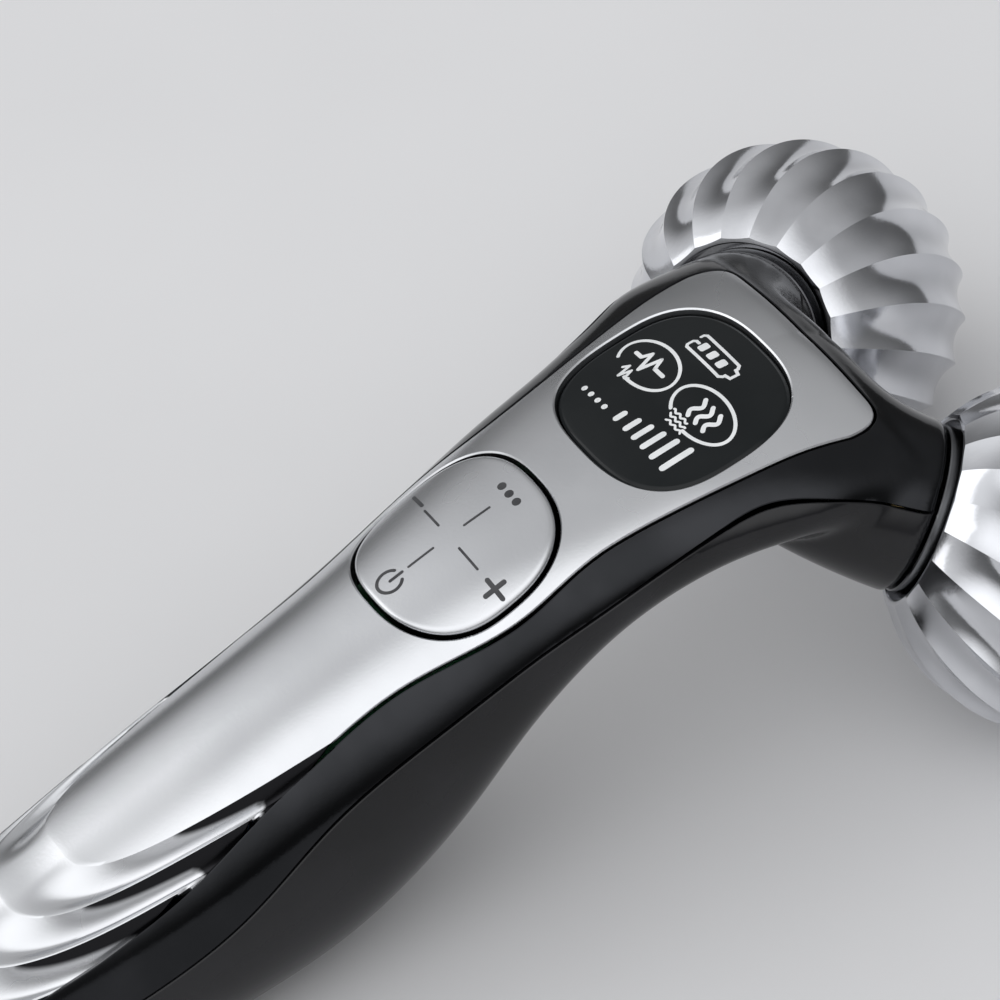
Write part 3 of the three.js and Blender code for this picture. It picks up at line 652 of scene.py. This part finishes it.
def noise(tree, coords, scale, detail):
    node = tree.nodes.new("ShaderNodeTexNoise")
    node.inputs["Scale"].default_value = scale
    node.inputs["Detail"].default_value = detail
    tree.links.new(coords, node.inputs["Vector"])
    return node.outputs["Fac"]


def ramp(tree, value, stops):
    """A colour between two stops, each a place and a colour."""
    node = tree.nodes.new("ShaderNodeValToRGB")
    node.color_ramp.interpolation = "EASE"
    for element, (at, colour) in zip(node.color_ramp.elements, stops):
        element.position = at
        element.color = (*colour, 1)
    tree.links.new(value, node.inputs["Fac"])
    return node.outputs["Color"]


def spread(tree, value, low, high, from_low=0.3, from_high=0.7):
    """A value carried smoothly from one range to another."""
    node = tree.nodes.new("ShaderNodeMapRange")
    node.interpolation_type = "SMOOTHSTEP"
    node.inputs["From Min"].default_value = from_low
    node.inputs["From Max"].default_value = from_high
    node.inputs["To Min"].default_value = low
    node.inputs["To Max"].default_value = high
    tree.links.new(value, node.inputs["Value"])
    return node.outputs["Result"]


def surface(name, dark, light, metallic, rough, scale, bump, bump_scale, painted_shade=None, between=(0.0, 1.0),
            specular=0.5):
    """A finish whose colour, roughness and fine relief all vary a little over the surface. Where the mesh's
    painted_shade attribute passes from one value to another, it turns to the colour of the painted shade."""
    mat, tree, shader = new_material(name)
    coords = tree.nodes.new("ShaderNodeTexCoord").outputs["Object"]
    tone = noise(tree, coords, scale, 4.0)
    colour = ramp(tree, tone, [(0.35, dark), (0.65, light)])
    if painted_shade:
        attribute = tree.nodes.new("ShaderNodeAttribute")
        attribute.attribute_name = "painted_shade"
        shade = tree.nodes.new("ShaderNodeMix")
        shade.data_type = "RGBA"
        shade.inputs["B"].default_value = (*painted_shade, 1)
        tree.links.new(spread(tree, attribute.outputs["Fac"], 0.0, 1.0, *between), shade.inputs["Factor"])
        tree.links.new(colour, shade.inputs["A"])
        colour = shade.outputs["Result"]
    tree.links.new(colour, shader.inputs["Base Color"])
    shader.inputs["Metallic"].default_value = metallic
    shader.inputs["Specular IOR Level"].default_value = specular
    smudge = noise(tree, coords, scale * SMUDGE_SCALE, 5.0)
    tree.links.new(spread(tree, smudge, rough[0], rough[1]), shader.inputs["Roughness"])
    fine = noise(tree, coords, bump_scale, 6.0)
    relief = tree.nodes.new("ShaderNodeBump")
    relief.inputs["Strength"].default_value = bump
    relief.inputs["Distance"].default_value = RELIEF_HEIGHT
    tree.links.new(fine, relief.inputs["Height"])
    tree.links.new(relief.outputs["Normal"], shader.inputs["Normal"])
    return mat


# the painted_shade colours are painted shade: on the pad's skirt in its gap, and on the walls under the lobes'
# crests
SILVER = surface("silver_cover", (0.60, 0.61, 0.63), (0.68, 0.69, 0.71), 1.0, (0.22, 0.30), 40, 0.04, 2600,
                 painted_shade=(0.012, 0.012, 0.013))
COVER = surface("silver_lobes", (0.60, 0.61, 0.63), (0.68, 0.69, 0.71), 1.0, (0.22, 0.30), 40, 0.04, 2600,
                painted_shade=(0.022, 0.022, 0.024), between=(-0.04, 0.05))
DARK_CHROME = surface("dark_chrome", (0.024, 0.025, 0.027), (0.034, 0.035, 0.038), 1.0, (0.08, 0.15), 60, 0.03,
                      1500)
BLACK = surface("black_shell", (0.008, 0.008, 0.009), (0.014, 0.014, 0.016), 0.0, (0.10, 0.18), 50, 0.03, 1400,
                specular=0.32)
LENS = surface("dark_lens", (0.006, 0.008, 0.009), (0.010, 0.012, 0.013), 0.0, (0.05, 0.10), 60, 0.01, 900,
               specular=0.22)
# its painted_shade colour is painted shade in the flutes, inside the mouth and in the hub's seat
BALL_CHROME = surface("ball_chrome", (0.62, 0.63, 0.66), (0.72, 0.73, 0.76), 1.0, (0.10, 0.17), 80, 0.03, 2200,
                      painted_shade=(0.10, 0.10, 0.11))
CHROME = surface("hub_chrome", (0.48, 0.49, 0.51), (0.58, 0.59, 0.61), 1.0, (0.16, 0.26), 110, 0.03, 2200)
COLLAR = surface("collar_chrome", (0.13, 0.133, 0.14), (0.17, 0.174, 0.183), 1.0, (0.16, 0.26), 110, 0.03, 2200)
PRINT = surface("pad_print", (0.035, 0.036, 0.04), (0.055, 0.056, 0.06), 0.0, (0.4, 0.55), 400, 0.03, 3000)
LIT = surface("display_print", (0.80, 0.82, 0.83), (0.88, 0.89, 0.90), 0.0, (0.25, 0.4), 500, 0.02, 3000)
STEEL = surface("steel", (0.45, 0.45, 0.46), (0.58, 0.58, 0.60), 1.0, (0.25, 0.4), 200, 0.08, 1500)
BRASS = surface("brass", (0.62, 0.45, 0.2), (0.72, 0.55, 0.28), 1.0, (0.25, 0.4), 200, 0.08, 1500)
BOARD = surface("circuit_board", (0.03, 0.16, 0.07), (0.05, 0.22, 0.1), 0.0, (0.4, 0.6), 300, 0.1, 900)
GREY = surface("grey_plastic", (0.17, 0.175, 0.18), (0.22, 0.225, 0.23), 0.0, (0.45, 0.6), 250, 0.15, 1800)
WRAP = surface("battery_wrap", (0.05, 0.15, 0.4), (0.08, 0.2, 0.5), 0.0, (0.3, 0.45), 120, 0.05, 1200)
CAD_FINISH = {
    "silver_cover": SILVER, "dark_chrome": DARK_CHROME, "black_shell": BLACK, "dark_lens": LENS,
    "ball_chrome": CHROME, "circuit_board": BOARD, "grey_plastic": GREY, "battery_wrap": WRAP,
    "steel": STEEL, "brass": BRASS,
}
# the solids that no piece replaces show these finishes
for entry in frame["record"]["subparts"]:
    target = frame["nodes"][entry["node"]]
    target.data.materials.clear()
    target.data.materials.append(CAD_FINISH[entry["material_slot"]])


# ---------------------------------------------------------------- meshes
def piece(name, v, faces, material, body, replaces=None, sharp=32.0, painted_shade=None):
    """A mesh object from points in millimetres, which rides on a body of the frame."""
    mesh = bpy.data.meshes.new(name)
    place = (np.asarray(v) + [0, PAD_SHIFT, 0]) * MM
    mesh.from_pydata(place.tolist(), [], [[int(i) for i in f] for f in faces])
    mesh.update()
    mesh.shade_smooth()
    if sharp:
        mesh.set_sharp_from_angle(angle=math.radians(sharp))
    if painted_shade is not None:
        layer = mesh.attributes.new("painted_shade", "FLOAT", "POINT")
        layer.data.foreach_set("value", np.asarray(painted_shade, np.float32))
    mesh.materials.append(material)
    obj = bpy.data.objects.new(name, mesh)
    bpy.context.scene.collection.objects.link(obj)
    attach(obj, body)
    if replaces:
        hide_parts(replaces)


def screw_seats():
    """The four cups that the heads of the screws sit in, which close their bores."""
    angle = np.arange(SEAT_SIDES) * 2 * math.pi / SEAT_SIDES
    v, faces = [], []
    for name in ("front_left", "front_right", "rear_left", "rear_right"):
        low, high = np.array(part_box("housing_screw_" + name)) / MM
        x, y, _ = (low + high) / 2
        first = len(v)
        seat, below = low[2] + SEAT_HEIGHT, low[2] - SEAT_BELOW
        for radius, z in ((SEAT_HOLE, seat), (SEAT_RADIUS, seat), (SEAT_RADIUS, below)):
            for a in angle:
                v.append((x + radius * math.cos(a), y + radius * math.sin(a) - PAD_SHIFT, z))
        for ring in (first, first + SEAT_SIDES):
            after = ring + SEAT_SIDES
            for k in range(SEAT_SIDES):
                j = (k + 1) % SEAT_SIDES
                faces.append((ring + k, ring + j, after + j, after + k))
    piece("screw_seats", v, faces, BLACK, "frame")


def shell(name, mesh, depth, material, replaces):
    """A piece of the body's outer surface, with a wall along its open edges."""
    v, t = rimmed(*mesh, SHELL_BEVEL, depth)
    piece(name, v, t, material, "frame", replaces)


def body_pieces():
    """The upper and lower shells and the end cap, all cut from one surface."""
    v, q = surface_net(*SHELL_NET)
    v = settle(v, 3)
    v, q = quarter(v, q)
    v = settle(v, 2)
    t = triangles(q)
    bevel = SHELL_BEVEL

    def parting(p):
        return section(np.clip(p[:, 1], HANDLE_END, NECK_END))[3]

    cap_from = HANDLE_END + END_CAP_LENGTH
    main = clip(v, t, v[:, 1] - cap_from - GAP / 2 - bevel)
    upper = clip(*main, main[0][:, 2] - parting(main[0]) - GAP / 2 - bevel)
    upper = clip(*upper, outline_distance(upper[0][:, 0], upper[0][:, 1]) - GAP - bevel)
    shell("upper_shell", upper, SHELL_WALL, DARK_CHROME, "upper_housing")

    lower = clip(*main, parting(main[0]) - main[0][:, 2] - GAP / 2 - bevel)
    for x, y, _ in FIXINGS:
        for at in (-x, x):
            p = lower[0]
            away = np.hypot(p[:, 0] - at, p[:, 1] - y) - FIXING_RADIUS - bevel
            lower = clip(*lower, np.where(p[:, 2] < section(p[:, 1])[1], away, FAR))
    p = lower[0]
    depth = np.full(len(p), SHELL_WALL)
    for x, y, deep in FIXINGS:
        for at in (-x, x):
            depth[np.hypot(p[:, 0] - at, p[:, 1] - y) < FIXING_WALL_REACH] = deep
    shell("lower_shell", lower, depth, BLACK, "lower_housing")
    screw_seats()

    cap = clip(v, t, cap_from - GAP / 2 - bevel - v[:, 1])
    middle = section(np.array([HANDLE_END]))[1][0]
    p = cap[0]
    hole = ray_distance(p[:, 0], p[:, 2] - middle, *SOCKET_HALF, SOCKET_POWER) - bevel
    cap = clip(*cap, np.where(p[:, 1] < HANDLE_END + SOCKET_REACH, hole, FAR))
    shell("end_shell", cap, SHELL_WALL, BLACK, "end_cap")


def lobe_width(e):
    """Half width of the U with its bottom at a place."""
    flare = np.minimum(LOBE_MOST_HALF_WIDTH - LOBE_HALF_WIDTH, LOBE_FLARE * np.maximum(0, LOBE_FIRST - e))
    return LOBE_HALF_WIDTH + flare


def cover_piece():
    """The silver cover: a grid whose rows follow the U of the lobes, dropped on to the body, pressed in
    by the lobes' depth and cut to its outline and its two openings."""
    bevel = COVER_BEVEL
    lobes = int((LOBE_FIRST - LOBE_LAST) / LOBE_PITCH) + 1
    rows = list(np.arange(COVER_ROWS_FROM, LOBE_FIRST + 0.4, -COVER_ROW_STEP))
    for k in range(lobes):
        rows += [LOBE_FIRST - LOBE_PITCH * (k + s) for s in LOBE_ROWS]
    rows = np.array([r for r in rows if r > LOBE_LAST] + [LOBE_LAST, *LOBE_TAIL])
    e, q = np.meshgrid(rows, np.linspace(-COVER_REACH, COVER_REACH, COVER_COLUMNS), indexing="ij")
    share = np.minimum(np.abs(q), LOBE_MOST_SHARE)
    x = q * lobe_width(e)
    # the rows bend round like the lobes, and straighten out ahead of them
    bent = 1 - smoothstep(e, LOBE_FIRST + 2, COVER_ROWS_STRAIGHT)
    y = e + LOBE_REACH * bent * share**LOBE_POWER
    flat = np.stack([x.ravel(), np.maximum(y, COVER_BACK - 2).ravel(), np.full(x.size, ABOVE)], 1)
    _, middle, _, _ = section(flat[:, 1])
    top = drop(flat, np.array([0, 0, -1.0]), ABOVE - middle.min())
    at = (LOBE_FIRST - e) / LOBE_PITCH
    step = at - np.floor(at)
    lobed = (at >= 0) & (e >= LOBE_LAST)
    rise = 1 - (1 - np.minimum(1, step / LOBE_WALL_SHARE)) ** 2
    fall = 1 - smoothstep(step, LOBE_WALL_SHARE, 1.0)
    side = smoothstep(share, *LOBE_SIDE_SHARES)
    fade = 1 - smoothstep(share, *LOBE_FADE_SHARES)
    deep = LOBE_MIDDLE_DEPTH + (LOBE_SIDE_DEPTH - LOBE_MIDDLE_DEPTH) * side
    top[:, 2] -= np.where(lobed, rise * fall * fade * deep, 0).ravel()
    # painted shade on the wall under each crest: it starts at a rounded tip and widens towards the side
    first = np.array(SHADE_FROM)[np.clip(np.floor(at).astype(int), 0, len(SHADE_FROM) - 1)]
    wide = (share - first) / (SHADE_TO - first)
    reach = SHADE_SHARE * np.clip(wide, 0, 1) ** SHADE_CURVE
    reach = reach + (1 - SHADE_SHARE) * smoothstep(wide, *SHADE_WIDENS)
    reach = np.where(wide > 0, reach, wide)
    shade = np.where(lobed, np.clip(reach - step, -SHADE_MOST, SHADE_MOST), -SHADE_MOST)
    top = np.hstack([top, shade.reshape(-1, 1)])
    n, m = e.shape
    i = np.arange(n * m).reshape(n, m)
    quads = np.stack([i[1:, :-1], i[1:, 1:], i[:-1, 1:], i[:-1, :-1]], -1).reshape(-1, 4)
    v, t = clip(top, triangles(quads), -outline_distance(top[:, 0], top[:, 1]) - bevel)
    for plane, half, power, gap in ((PAD, PAD_HALF, PAD_POWER, PAD_GAP),
                                    (WINDOW, WINDOW_HALF, WINDOW_POWER, WINDOW_GAP)):
        px, py = plane.local(v[:, :3])
        v, t = clip(v, t, ray_distance(px, py, half[0] + gap, half[1] + gap, power) - bevel)
    v, t = rimmed(v, t, bevel, COVER_WALL, COVER_RIM_PASSES)
    piece("cover_skin", v[:, :3], t, COVER, "frame", "top_cover", painted_shade=v[:, 3])


def disc_grid(plane, half, power, rings, height):
    """A rounded plate on a plane: rings are (share of the half size, drop below the surface)."""
    columns = PLATE_COLUMNS
    angle = np.arange(columns) * 2 * math.pi / columns
    c, s = np.cos(angle), np.sin(angle)
    ux = np.sign(c) * np.abs(c) ** (2 / power) * half[0]
    uy = np.sign(s) * np.abs(s) ** (2 / power) * half[1]
    v, faces = [plane.lift([0.0], [0.0], height)], []
    for share, down in rings:
        v.append(plane.lift(ux * share, uy * share, height - down))
    v = np.concatenate(v)
    ring = np.arange(columns)
    after = (ring + 1) % columns
    faces += [(0, 1 + a, 1 + b) for a, b in zip(ring, after)]
    for k in range(len(rings) - 1):
        a, b = 1 + k * columns, 1 + (k + 1) * columns
        faces += [(a + i, b + i, b + j, a + j) for i, j in zip(ring, after)]
    return v, faces


def pad_piece():
    """The pad's face, with a rounded edge and a skirt in the gap painted dark as shade."""
    rings = [(s, 0.0) for s in np.linspace(0.04, 0.94, 28)]
    for k in range(1, 9):
        a = k * math.pi / 16
        rings.append((PAD_EDGE_FROM + (1 - PAD_EDGE_FROM) * math.sin(a), PAD_EDGE_DROP * (1 - math.cos(a))))
    rings += [(1.0, 1.0), (1.0, 1.8), (1.0, 2.4)]
    v, faces = disc_grid(PAD, PAD_HALF, PAD_POWER, rings, PAD_LIFT)
    # painted shade on the skirt as it drops into the gap
    dark = [0.0] + [smoothstep(down, *PAD_SHADE_DROPS) for _, down in rings]
    skirt_shade = np.repeat(dark, [1] + [PLATE_COLUMNS] * len(rings))
    piece("pad_skin", v, faces, SILVER, "pad", "button_pad", PLATE_SHARP, skirt_shade)


def lens_piece():
    """The display window, with a small rounded edge."""
    rings = [(s, 0.0) for s in np.linspace(0.05, 0.955, 18)]
    rings += [(0.962, 0.01), (0.985, 0.16), (1.0, 0.32), (1.0, 1.3)]
    v, faces = disc_grid(WINDOW, WINDOW_HALF, WINDOW_POWER, rings, -WINDOW_RECESS)
    piece("lens_plate", v, faces, LENS, "frame", "display_window", PLATE_SHARP)


# ---------------------------------------------------------------- printed marks
def stroke(points, width):
    """A flat round-ended line of one width through points, as 2D vertices and faces."""
    p = np.asarray(points, float)
    run = [p[0]]
    for a, b in zip(p[:-1], p[1:]):
        n = max(1, int(np.linalg.norm(b - a) / STROKE_STEP))
        run += [a + (b - a) * (k + 1) / n for k in range(n)]
    run = np.array(run)
    ahead = np.roll(run, -1, 0) - run
    behind = run - np.roll(run, 1, 0)
    ahead[-1], behind[0] = behind[-1], ahead[0]
    a, b = unit(ahead), unit(behind)
    mean = unit(a + b + 1e-9)
    normal = np.stack([-mean[:, 1], mean[:, 0]], 1)
    stretch = 1 / np.clip((mean * a).sum(1), 0.6, 1)
    off = normal * (stretch * width / 2)[:, None]
    n = len(run)
    faces = [(i, i + n, i + 1 + n, i + 1) for i in range(n - 1)]
    v = [tuple(q) for q in np.concatenate([run + off, run - off])]
    for centre, direction in ((run[0], -a[0]), (run[-1], a[-1])):
        side = np.array([-direction[1], direction[0]])
        start = len(v)
        for k in range(STROKE_CAP + 1):
            w = math.pi * k / STROKE_CAP
            v.append(tuple(centre + (side * math.cos(w) + direction * math.sin(w)) * width / 2))
        faces.append(tuple(range(start + STROKE_CAP, start - 1, -1)))
    return v, faces


def zigzag(points, width):
    """A line with sharp turns, as one round-ended stroke for each of its straight stretches."""
    return [stroke([a, b], width) for a, b in zip(points[:-1], points[1:])]


def plate(x0, y0, x1, y1, corner):
    """A flat rectangle with round corners."""
    left, right, low, high = x0 + corner, x1 - corner, y0 + corner, y1 - corner
    middles = ((right, high), (left, high), (left, low), (right, low))
    v = []
    for k, (cx, cy) in enumerate(middles):
        for w in range(5):
            a = (k + w / 4) * math.pi / 2
            v.append((cx + corner * math.cos(a), cy + corner * math.sin(a)))
    return v, [tuple(range(len(v)))]


def arc(cx, cy, rx, ry, start, stop, count):
    """Points along part of an ellipse, from one angle in degrees to another."""
    angle = np.radians(np.linspace(start, stop, count + 1))
    return np.stack([cx + rx * np.cos(angle), cy + ry * np.sin(angle)], 1)


def marks(name, shapes, plane, height, material, body):
    """Flat shapes of a plane laid on the body's surface as one piece, with their faces turned outward."""
    v, faces = [], []
    for sv, sf in shapes:
        faces += [tuple(i + len(v) for i in f) for f in sf]
        v += sv
    flat = np.array(v)
    lifted = plane.lift(flat[:, 0], flat[:, 1], height)
    fixed = []
    for f in faces:
        a, b, c = (flat[i] for i in f[:3])
        turn = (b[0] - a[0]) * (c[1] - a[1]) - (b[1] - a[1]) * (c[0] - a[0])
        fixed.append(f if turn > 0 else f[::-1])
    piece(name, lifted, fixed, material, body, sharp=0)


def pad_marks():
    """Minus, plus and power signs, dividing lines, and three dots."""
    w = 0.42
    shapes = [
        stroke([(-9.9, 0), (-7.3, 0)], 0.5),
        stroke([(-6.1, -0.2), (-2.45, -0.2)], w * 0.75),
        stroke([(0, 2.05), (0, 5.65)], w * 0.75),
        stroke([(0, -6.05), (0, -2.45)], w * 0.75),
        stroke([(2.45, -0.2), (6.4, -0.2)], w * 0.75),
        stroke([(8.3, -0.15), (11.1, -0.15)], 0.62),
        stroke([(9.7, -1.5), (9.7, 1.2)], 0.62),
        stroke(arc(0, -8.85, 1.6, 1.6, -235, 55, 36), w),
        stroke([(0, -8.75), (0, -7.0)], w),
    ]
    for x in (-1.7, 0.0, 1.7):
        shapes.append(stroke(arc(x, 8.45, 0.3, 0.3, 0, 330, 12), 0.55))
    marks("pad_marks", shapes, PAD, PAD_LIFT + PRINT_LIFT, PRINT, "pad")


def display_marks():
    """Two rings with a pulse and waves, a battery, and dots before rising bars."""
    w = 0.46
    shapes = []
    # ring with a pulse in it and another on its lower left
    shapes.append(stroke(arc(-6.4, 0.7, 5.3, 3.2, -96, 214, 60), w))
    pulse = [(-8.6, -1.7), (-8.1, -1.0), (-7.7, -2.9), (-7.2, -1.3), (-6.7, -2.6), (-6.3, -2.3)]
    shapes += zigzag(pulse, 0.4)
    inner = [(-9.6, 0.8), (-8.3, 0.8), (-7.6, 2.0), (-6.7, -0.6), (-5.8, 2.2), (-5.1, 0.8), (-3.2, 0.8)]
    shapes += zigzag(inner, 0.55)
    # ring with waves in it and under it
    shapes.append(stroke(arc(5.35, 1.05, 5.15, 3.15, -86, 226, 60), w))
    for y, x0, x1 in ((-1.05, 2.2, 5.2), (-1.75, 2.4, 5.6), (-2.45, 2.9, 5.9)):
        xs = np.linspace(x0, x1, 21)
        shapes.append(stroke(np.stack([xs, y + 0.15 * np.sin(xs * 6)], 1), 0.3))
    for x in (4.1, 5.7, 7.3):
        ys = np.linspace(-0.3, 2.5, 21)
        shapes.append(stroke(np.stack([x + 0.4 * np.sin((ys - 1.0) * 2.6), ys], 1), 0.6))
    # battery with three cells
    case = [(-4.9, 7.0), (-5.5, 7.0), (-5.8, 6.7), (-5.8, 5.9), (-5.5, 5.6), (1.7, 5.6), (2.1, 6.0), (2.1, 6.3),
            (2.9, 6.5), (2.9, 7.6), (2.1, 7.8), (2.1, 8.1), (1.7, 8.5), (-5.5, 8.5), (-5.8, 8.2), (-5.8, 7.8)]
    shapes.append(stroke(case, 0.42))
    for x in (-3.9, -1.9, 0.1):
        shapes.append(plate(x - 0.6, 6.35, x + 0.6, 7.75, 0.3))
    # rising bars, with a row of dots before them
    for x in (-9.0, -7.4, -5.8, -4.2):
        shapes.append(stroke(arc(x, -6.9, 0.2, 0.2, 0, 330, 10), 0.42))
    tops = (-5.75, -5.15, -4.6, -4.1, -3.5, -2.95)
    for x, top in zip((-1.45, 0.8, 2.7, 4.65, 6.65, 8.85), tops):
        shapes.append(stroke([(x, -6.9), (x, top)], 0.85))
    marks("display_marks", shapes, WINDOW, -WINDOW_RECESS + LIT_LIFT, LIT, "frame")


# ---------------------------------------------------------------- rollers
def roller_axes(side):
    """Directions across, along and up from the axle of a roller, and the middle of its ball."""
    along = ARM * [side, 1, 1]
    across = unit(np.array([-along[1], along[0], 0.0]))
    return across, along, np.cross(across, along), BALL * [side, 1, 1]


def placed(local, side):
    """Points of a roller, moved from its own axes to its place on the left or right."""
    across, along, rise, centre = roller_axes(side)
    return centre + np.outer(local[:, 0], across) + np.outer(local[:, 1], along) + np.outer(local[:, 2], rise)


def turned(profile, sides):
    """A ring or plate turned about Y from (radius, along) points, as vertices and quads."""
    r, a = np.array(profile).T
    phi = np.arange(sides) * 2 * math.pi / sides
    v = np.stack([np.outer(r, np.sin(phi)), np.repeat(a[:, None], sides, 1), np.outer(r, np.cos(phi))], -1)
    n = len(r)
    i = np.arange(n * sides).reshape(n, sides)
    j = np.roll(i, -1, 1)
    quads = np.stack([i[:-1], j[:-1], j[1:], i[1:]], -1).reshape(-1, 4)
    return v.reshape(-1, 3), quads


def ball_piece(name, side):
    """A fluted ball, open at the arm's end and hollowed at the other for the hub."""
    mouth_angle = math.pi - math.asin((MOUTH_RADIUS + MOUTH_LIP) / BALL_RADIUS)
    hub_angle = math.asin((HUB_RADIUS + GAP) / BALL_RADIUS)
    angles = np.linspace(mouth_angle, hub_angle, BALL_ROWS)
    s = (np.arange(FLUTES)[:, None] + FLUTE_PLACES[None]).ravel()
    hollow = np.tile(4 * FLUTE_PLACES * (1 - FLUTE_PLACES), FLUTES)
    y = BALL_RADIUS * np.cos(angles)
    r = BALL_RADIUS * np.sin(angles)
    share = y / BALL_RADIUS
    fade = FLUTE_LEAST + (1 - FLUTE_LEAST) * smoothstep(share, *FLUTE_DEEPENS)
    fade = fade * (1 - smoothstep(share, *FLUTE_ENDS))
    rr = r[:, None] - FLUTE_DEPTH * fade[:, None] * hollow[None]
    turn = 2 * math.pi * s[None] / FLUTES + FLUTE_TWIST * ((1 + share[:, None]) / 2) ** 2
    grid = np.stack([rr * np.sin(turn), np.repeat(y[:, None], len(s), 1), rr * np.cos(turn)], -1)
    # painted shade in the hollow of each flute
    painted_shade = BALL_SHADE * fade[:, None] * hollow[None] ** 2

    def ring(radius, along, like):
        t = turn[like]
        return np.stack([radius * np.sin(t), np.full(len(t), along), radius * np.cos(t)], -1)

    collar_to = -ARM_REACH + GAP + COLLAR_WIDTH
    seat = BALL_RADIUS - HUB_SEAT - HUB_WIDTH
    start = [ring(BORE_RADIUS, collar_to + GAP, 0), ring(MOUTH_RADIUS, collar_to + GAP, 0),
             ring(MOUTH_RADIUS, y[0] + BALL_EDGE, 0), ring(MOUTH_RADIUS + BALL_EDGE, y[0], 0)]
    finish = [ring(HUB_RADIUS + GAP, y[-1] - BALL_EDGE, -1), ring(HUB_RADIUS + GAP, seat, -1),
              ring(BORE_RADIUS, seat, -1)]
    all_rows = np.concatenate([np.stack(start), grid, np.stack(finish)])
    # painted shade inside the mouth, in the flutes and in the hub's seat
    dark = np.concatenate([np.full((len(start), len(s)), MOUTH_SHADE), painted_shade,
                           np.full((len(finish), len(s)), BALL_SHADE)])
    n, m = all_rows.shape[:2]
    i = np.arange(n * m).reshape(n, m)
    j = np.roll(i, -1, 1)
    quads = np.stack([j[:-1], j[1:], i[1:], i[:-1]], -1).reshape(-1, 4)
    v = placed(all_rows.reshape(-1, 3), side)
    piece(name + "_ball_skin", v, quads, BALL_CHROME, name + "_roller", name + "_roller_ball",
          sharp=12, painted_shade=dark.ravel())


def round_pieces(name, side):
    """The hub at the outer end of a roller, and the collar at the end of its arm."""
    seat = BALL_RADIUS - HUB_SEAT - HUB_WIDTH + GAP
    rim = seat + HUB_WIDTH
    wide = HUB_RADIUS - HUB_CROWN_EDGE
    shares = [k / HUB_CROWN_STEPS for k in range(HUB_CROWN_STEPS + 1)]
    crown = [(wide - wide * s, rim + HUB_CROWN * (1 - (1 - s) ** 2)) for s in shares]
    hub = [(0.01, seat), (HUB_RADIUS, seat), (HUB_RADIUS, rim - 0.2), (HUB_RADIUS - 0.07, rim - 0.06)] + crown
    v, q = turned(hub, ROUND_SIDES)
    piece(name + "_hub_skin", placed(v, side), q[:, ::-1], CHROME, name + "_roller",
          name + "_hub_cap")
    a = -ARM_REACH + GAP
    b = a + COLLAR_WIDTH
    inner, outer, edge = COLLAR_BORE, COLLAR_RADIUS, COLLAR_EDGE
    ring = [(inner, a), (outer - edge, a), (outer, a + edge), (outer, b - edge), (outer - edge, b), (inner, b),
            (inner, a)]
    v, q = turned(ring, ROUND_SIDES)
    piece(name + "_collar_skin", placed(v, side), q[:, ::-1], COLLAR, "frame", name + "_collar")


body_pieces()
cover_piece()
pad_piece()
lens_piece()
pad_marks()
display_marks()
for roller, roller_side in (("left", -1), ("right", 1)):
    ball_piece(roller, roller_side)
    round_pieces(roller, roller_side)


# ---------------------------------------------------------------- floor and light
def floor_piece():
    """A wide pale floor just under the part."""
    mesh = bpy.data.meshes.new("floor")
    s, z = FLOOR_HALF, -FLOOR_DROP
    mesh.from_pydata([(-s, -s, z), (s, -s, z), (s, s, z), (-s, s, z)], [], [(0, 1, 2, 3)])
    mat, tree, shader = new_material("floor")
    coords = tree.nodes.new("ShaderNodeTexCoord").outputs["Object"]
    tone = noise(tree, coords, 9.0, 4.0)
    colour = ramp(tree, tone, [(0.3, (0.75, 0.75, 0.76)), (0.7, (0.78, 0.78, 0.79))])
    tree.links.new(colour, shader.inputs["Base Color"])
    shader.inputs["Roughness"].default_value = 0.6
    mesh.materials.append(mat)
    obj = bpy.data.objects.new("floor", mesh)
    bpy.context.scene.collection.objects.link(obj)


def lamp(name, place, target, size, watts):
    """A rectangular lamp that faces a target."""
    data = bpy.data.lights.new(name, "AREA")
    data.shape = "RECTANGLE"
    data.size, data.size_y = size
    data.energy = watts
    obj = bpy.data.objects.new(name, data)
    obj.location = place
    direction = Vector(target) - Vector(place)
    obj.rotation_euler = direction.to_track_quat("-Z", "Y").to_euler()
    bpy.context.scene.collection.objects.link(obj)


floor_piece()
lamp("key", (-0.82, -0.92, 0.92), (0, 0.02, 0.02), (1.1, 1.0), 2.6)


def sky_material():
    """A soft studio round the object: dim low down, brighter overhead, with two broad soft boxes."""
    world = bpy.data.worlds.new("studio")
    world.use_nodes = True
    bpy.context.scene.world = world
    tree = world.node_tree
    background = tree.nodes["Background"]
    coords = tree.nodes.new("ShaderNodeTexCoord").outputs["Generated"]
    split = tree.nodes.new("ShaderNodeSeparateXYZ")
    tree.links.new(coords, split.inputs["Vector"])
    total = spread(tree, split.outputs["Z"], SKY_LOW, SKY_HIGH, 0.0, 0.9)
    for direction, gain, low, high in SOFT_BOXES:
        dot = tree.nodes.new("ShaderNodeVectorMath")
        dot.operation = "DOT_PRODUCT"
        tree.links.new(coords, dot.inputs[0])
        dot.inputs[1].default_value = unit(np.array(direction))
        lobe = spread(tree, dot.outputs["Value"], 0.0, gain, low, high)
        add = tree.nodes.new("ShaderNodeMath")
        tree.links.new(total, add.inputs[0])
        tree.links.new(lobe, add.inputs[1])
        total = add.outputs["Value"]
    tree.links.new(total, background.inputs["Strength"])
    background.inputs["Color"].default_value = (0.985, 0.99, 1.0, 1)


sky_material()
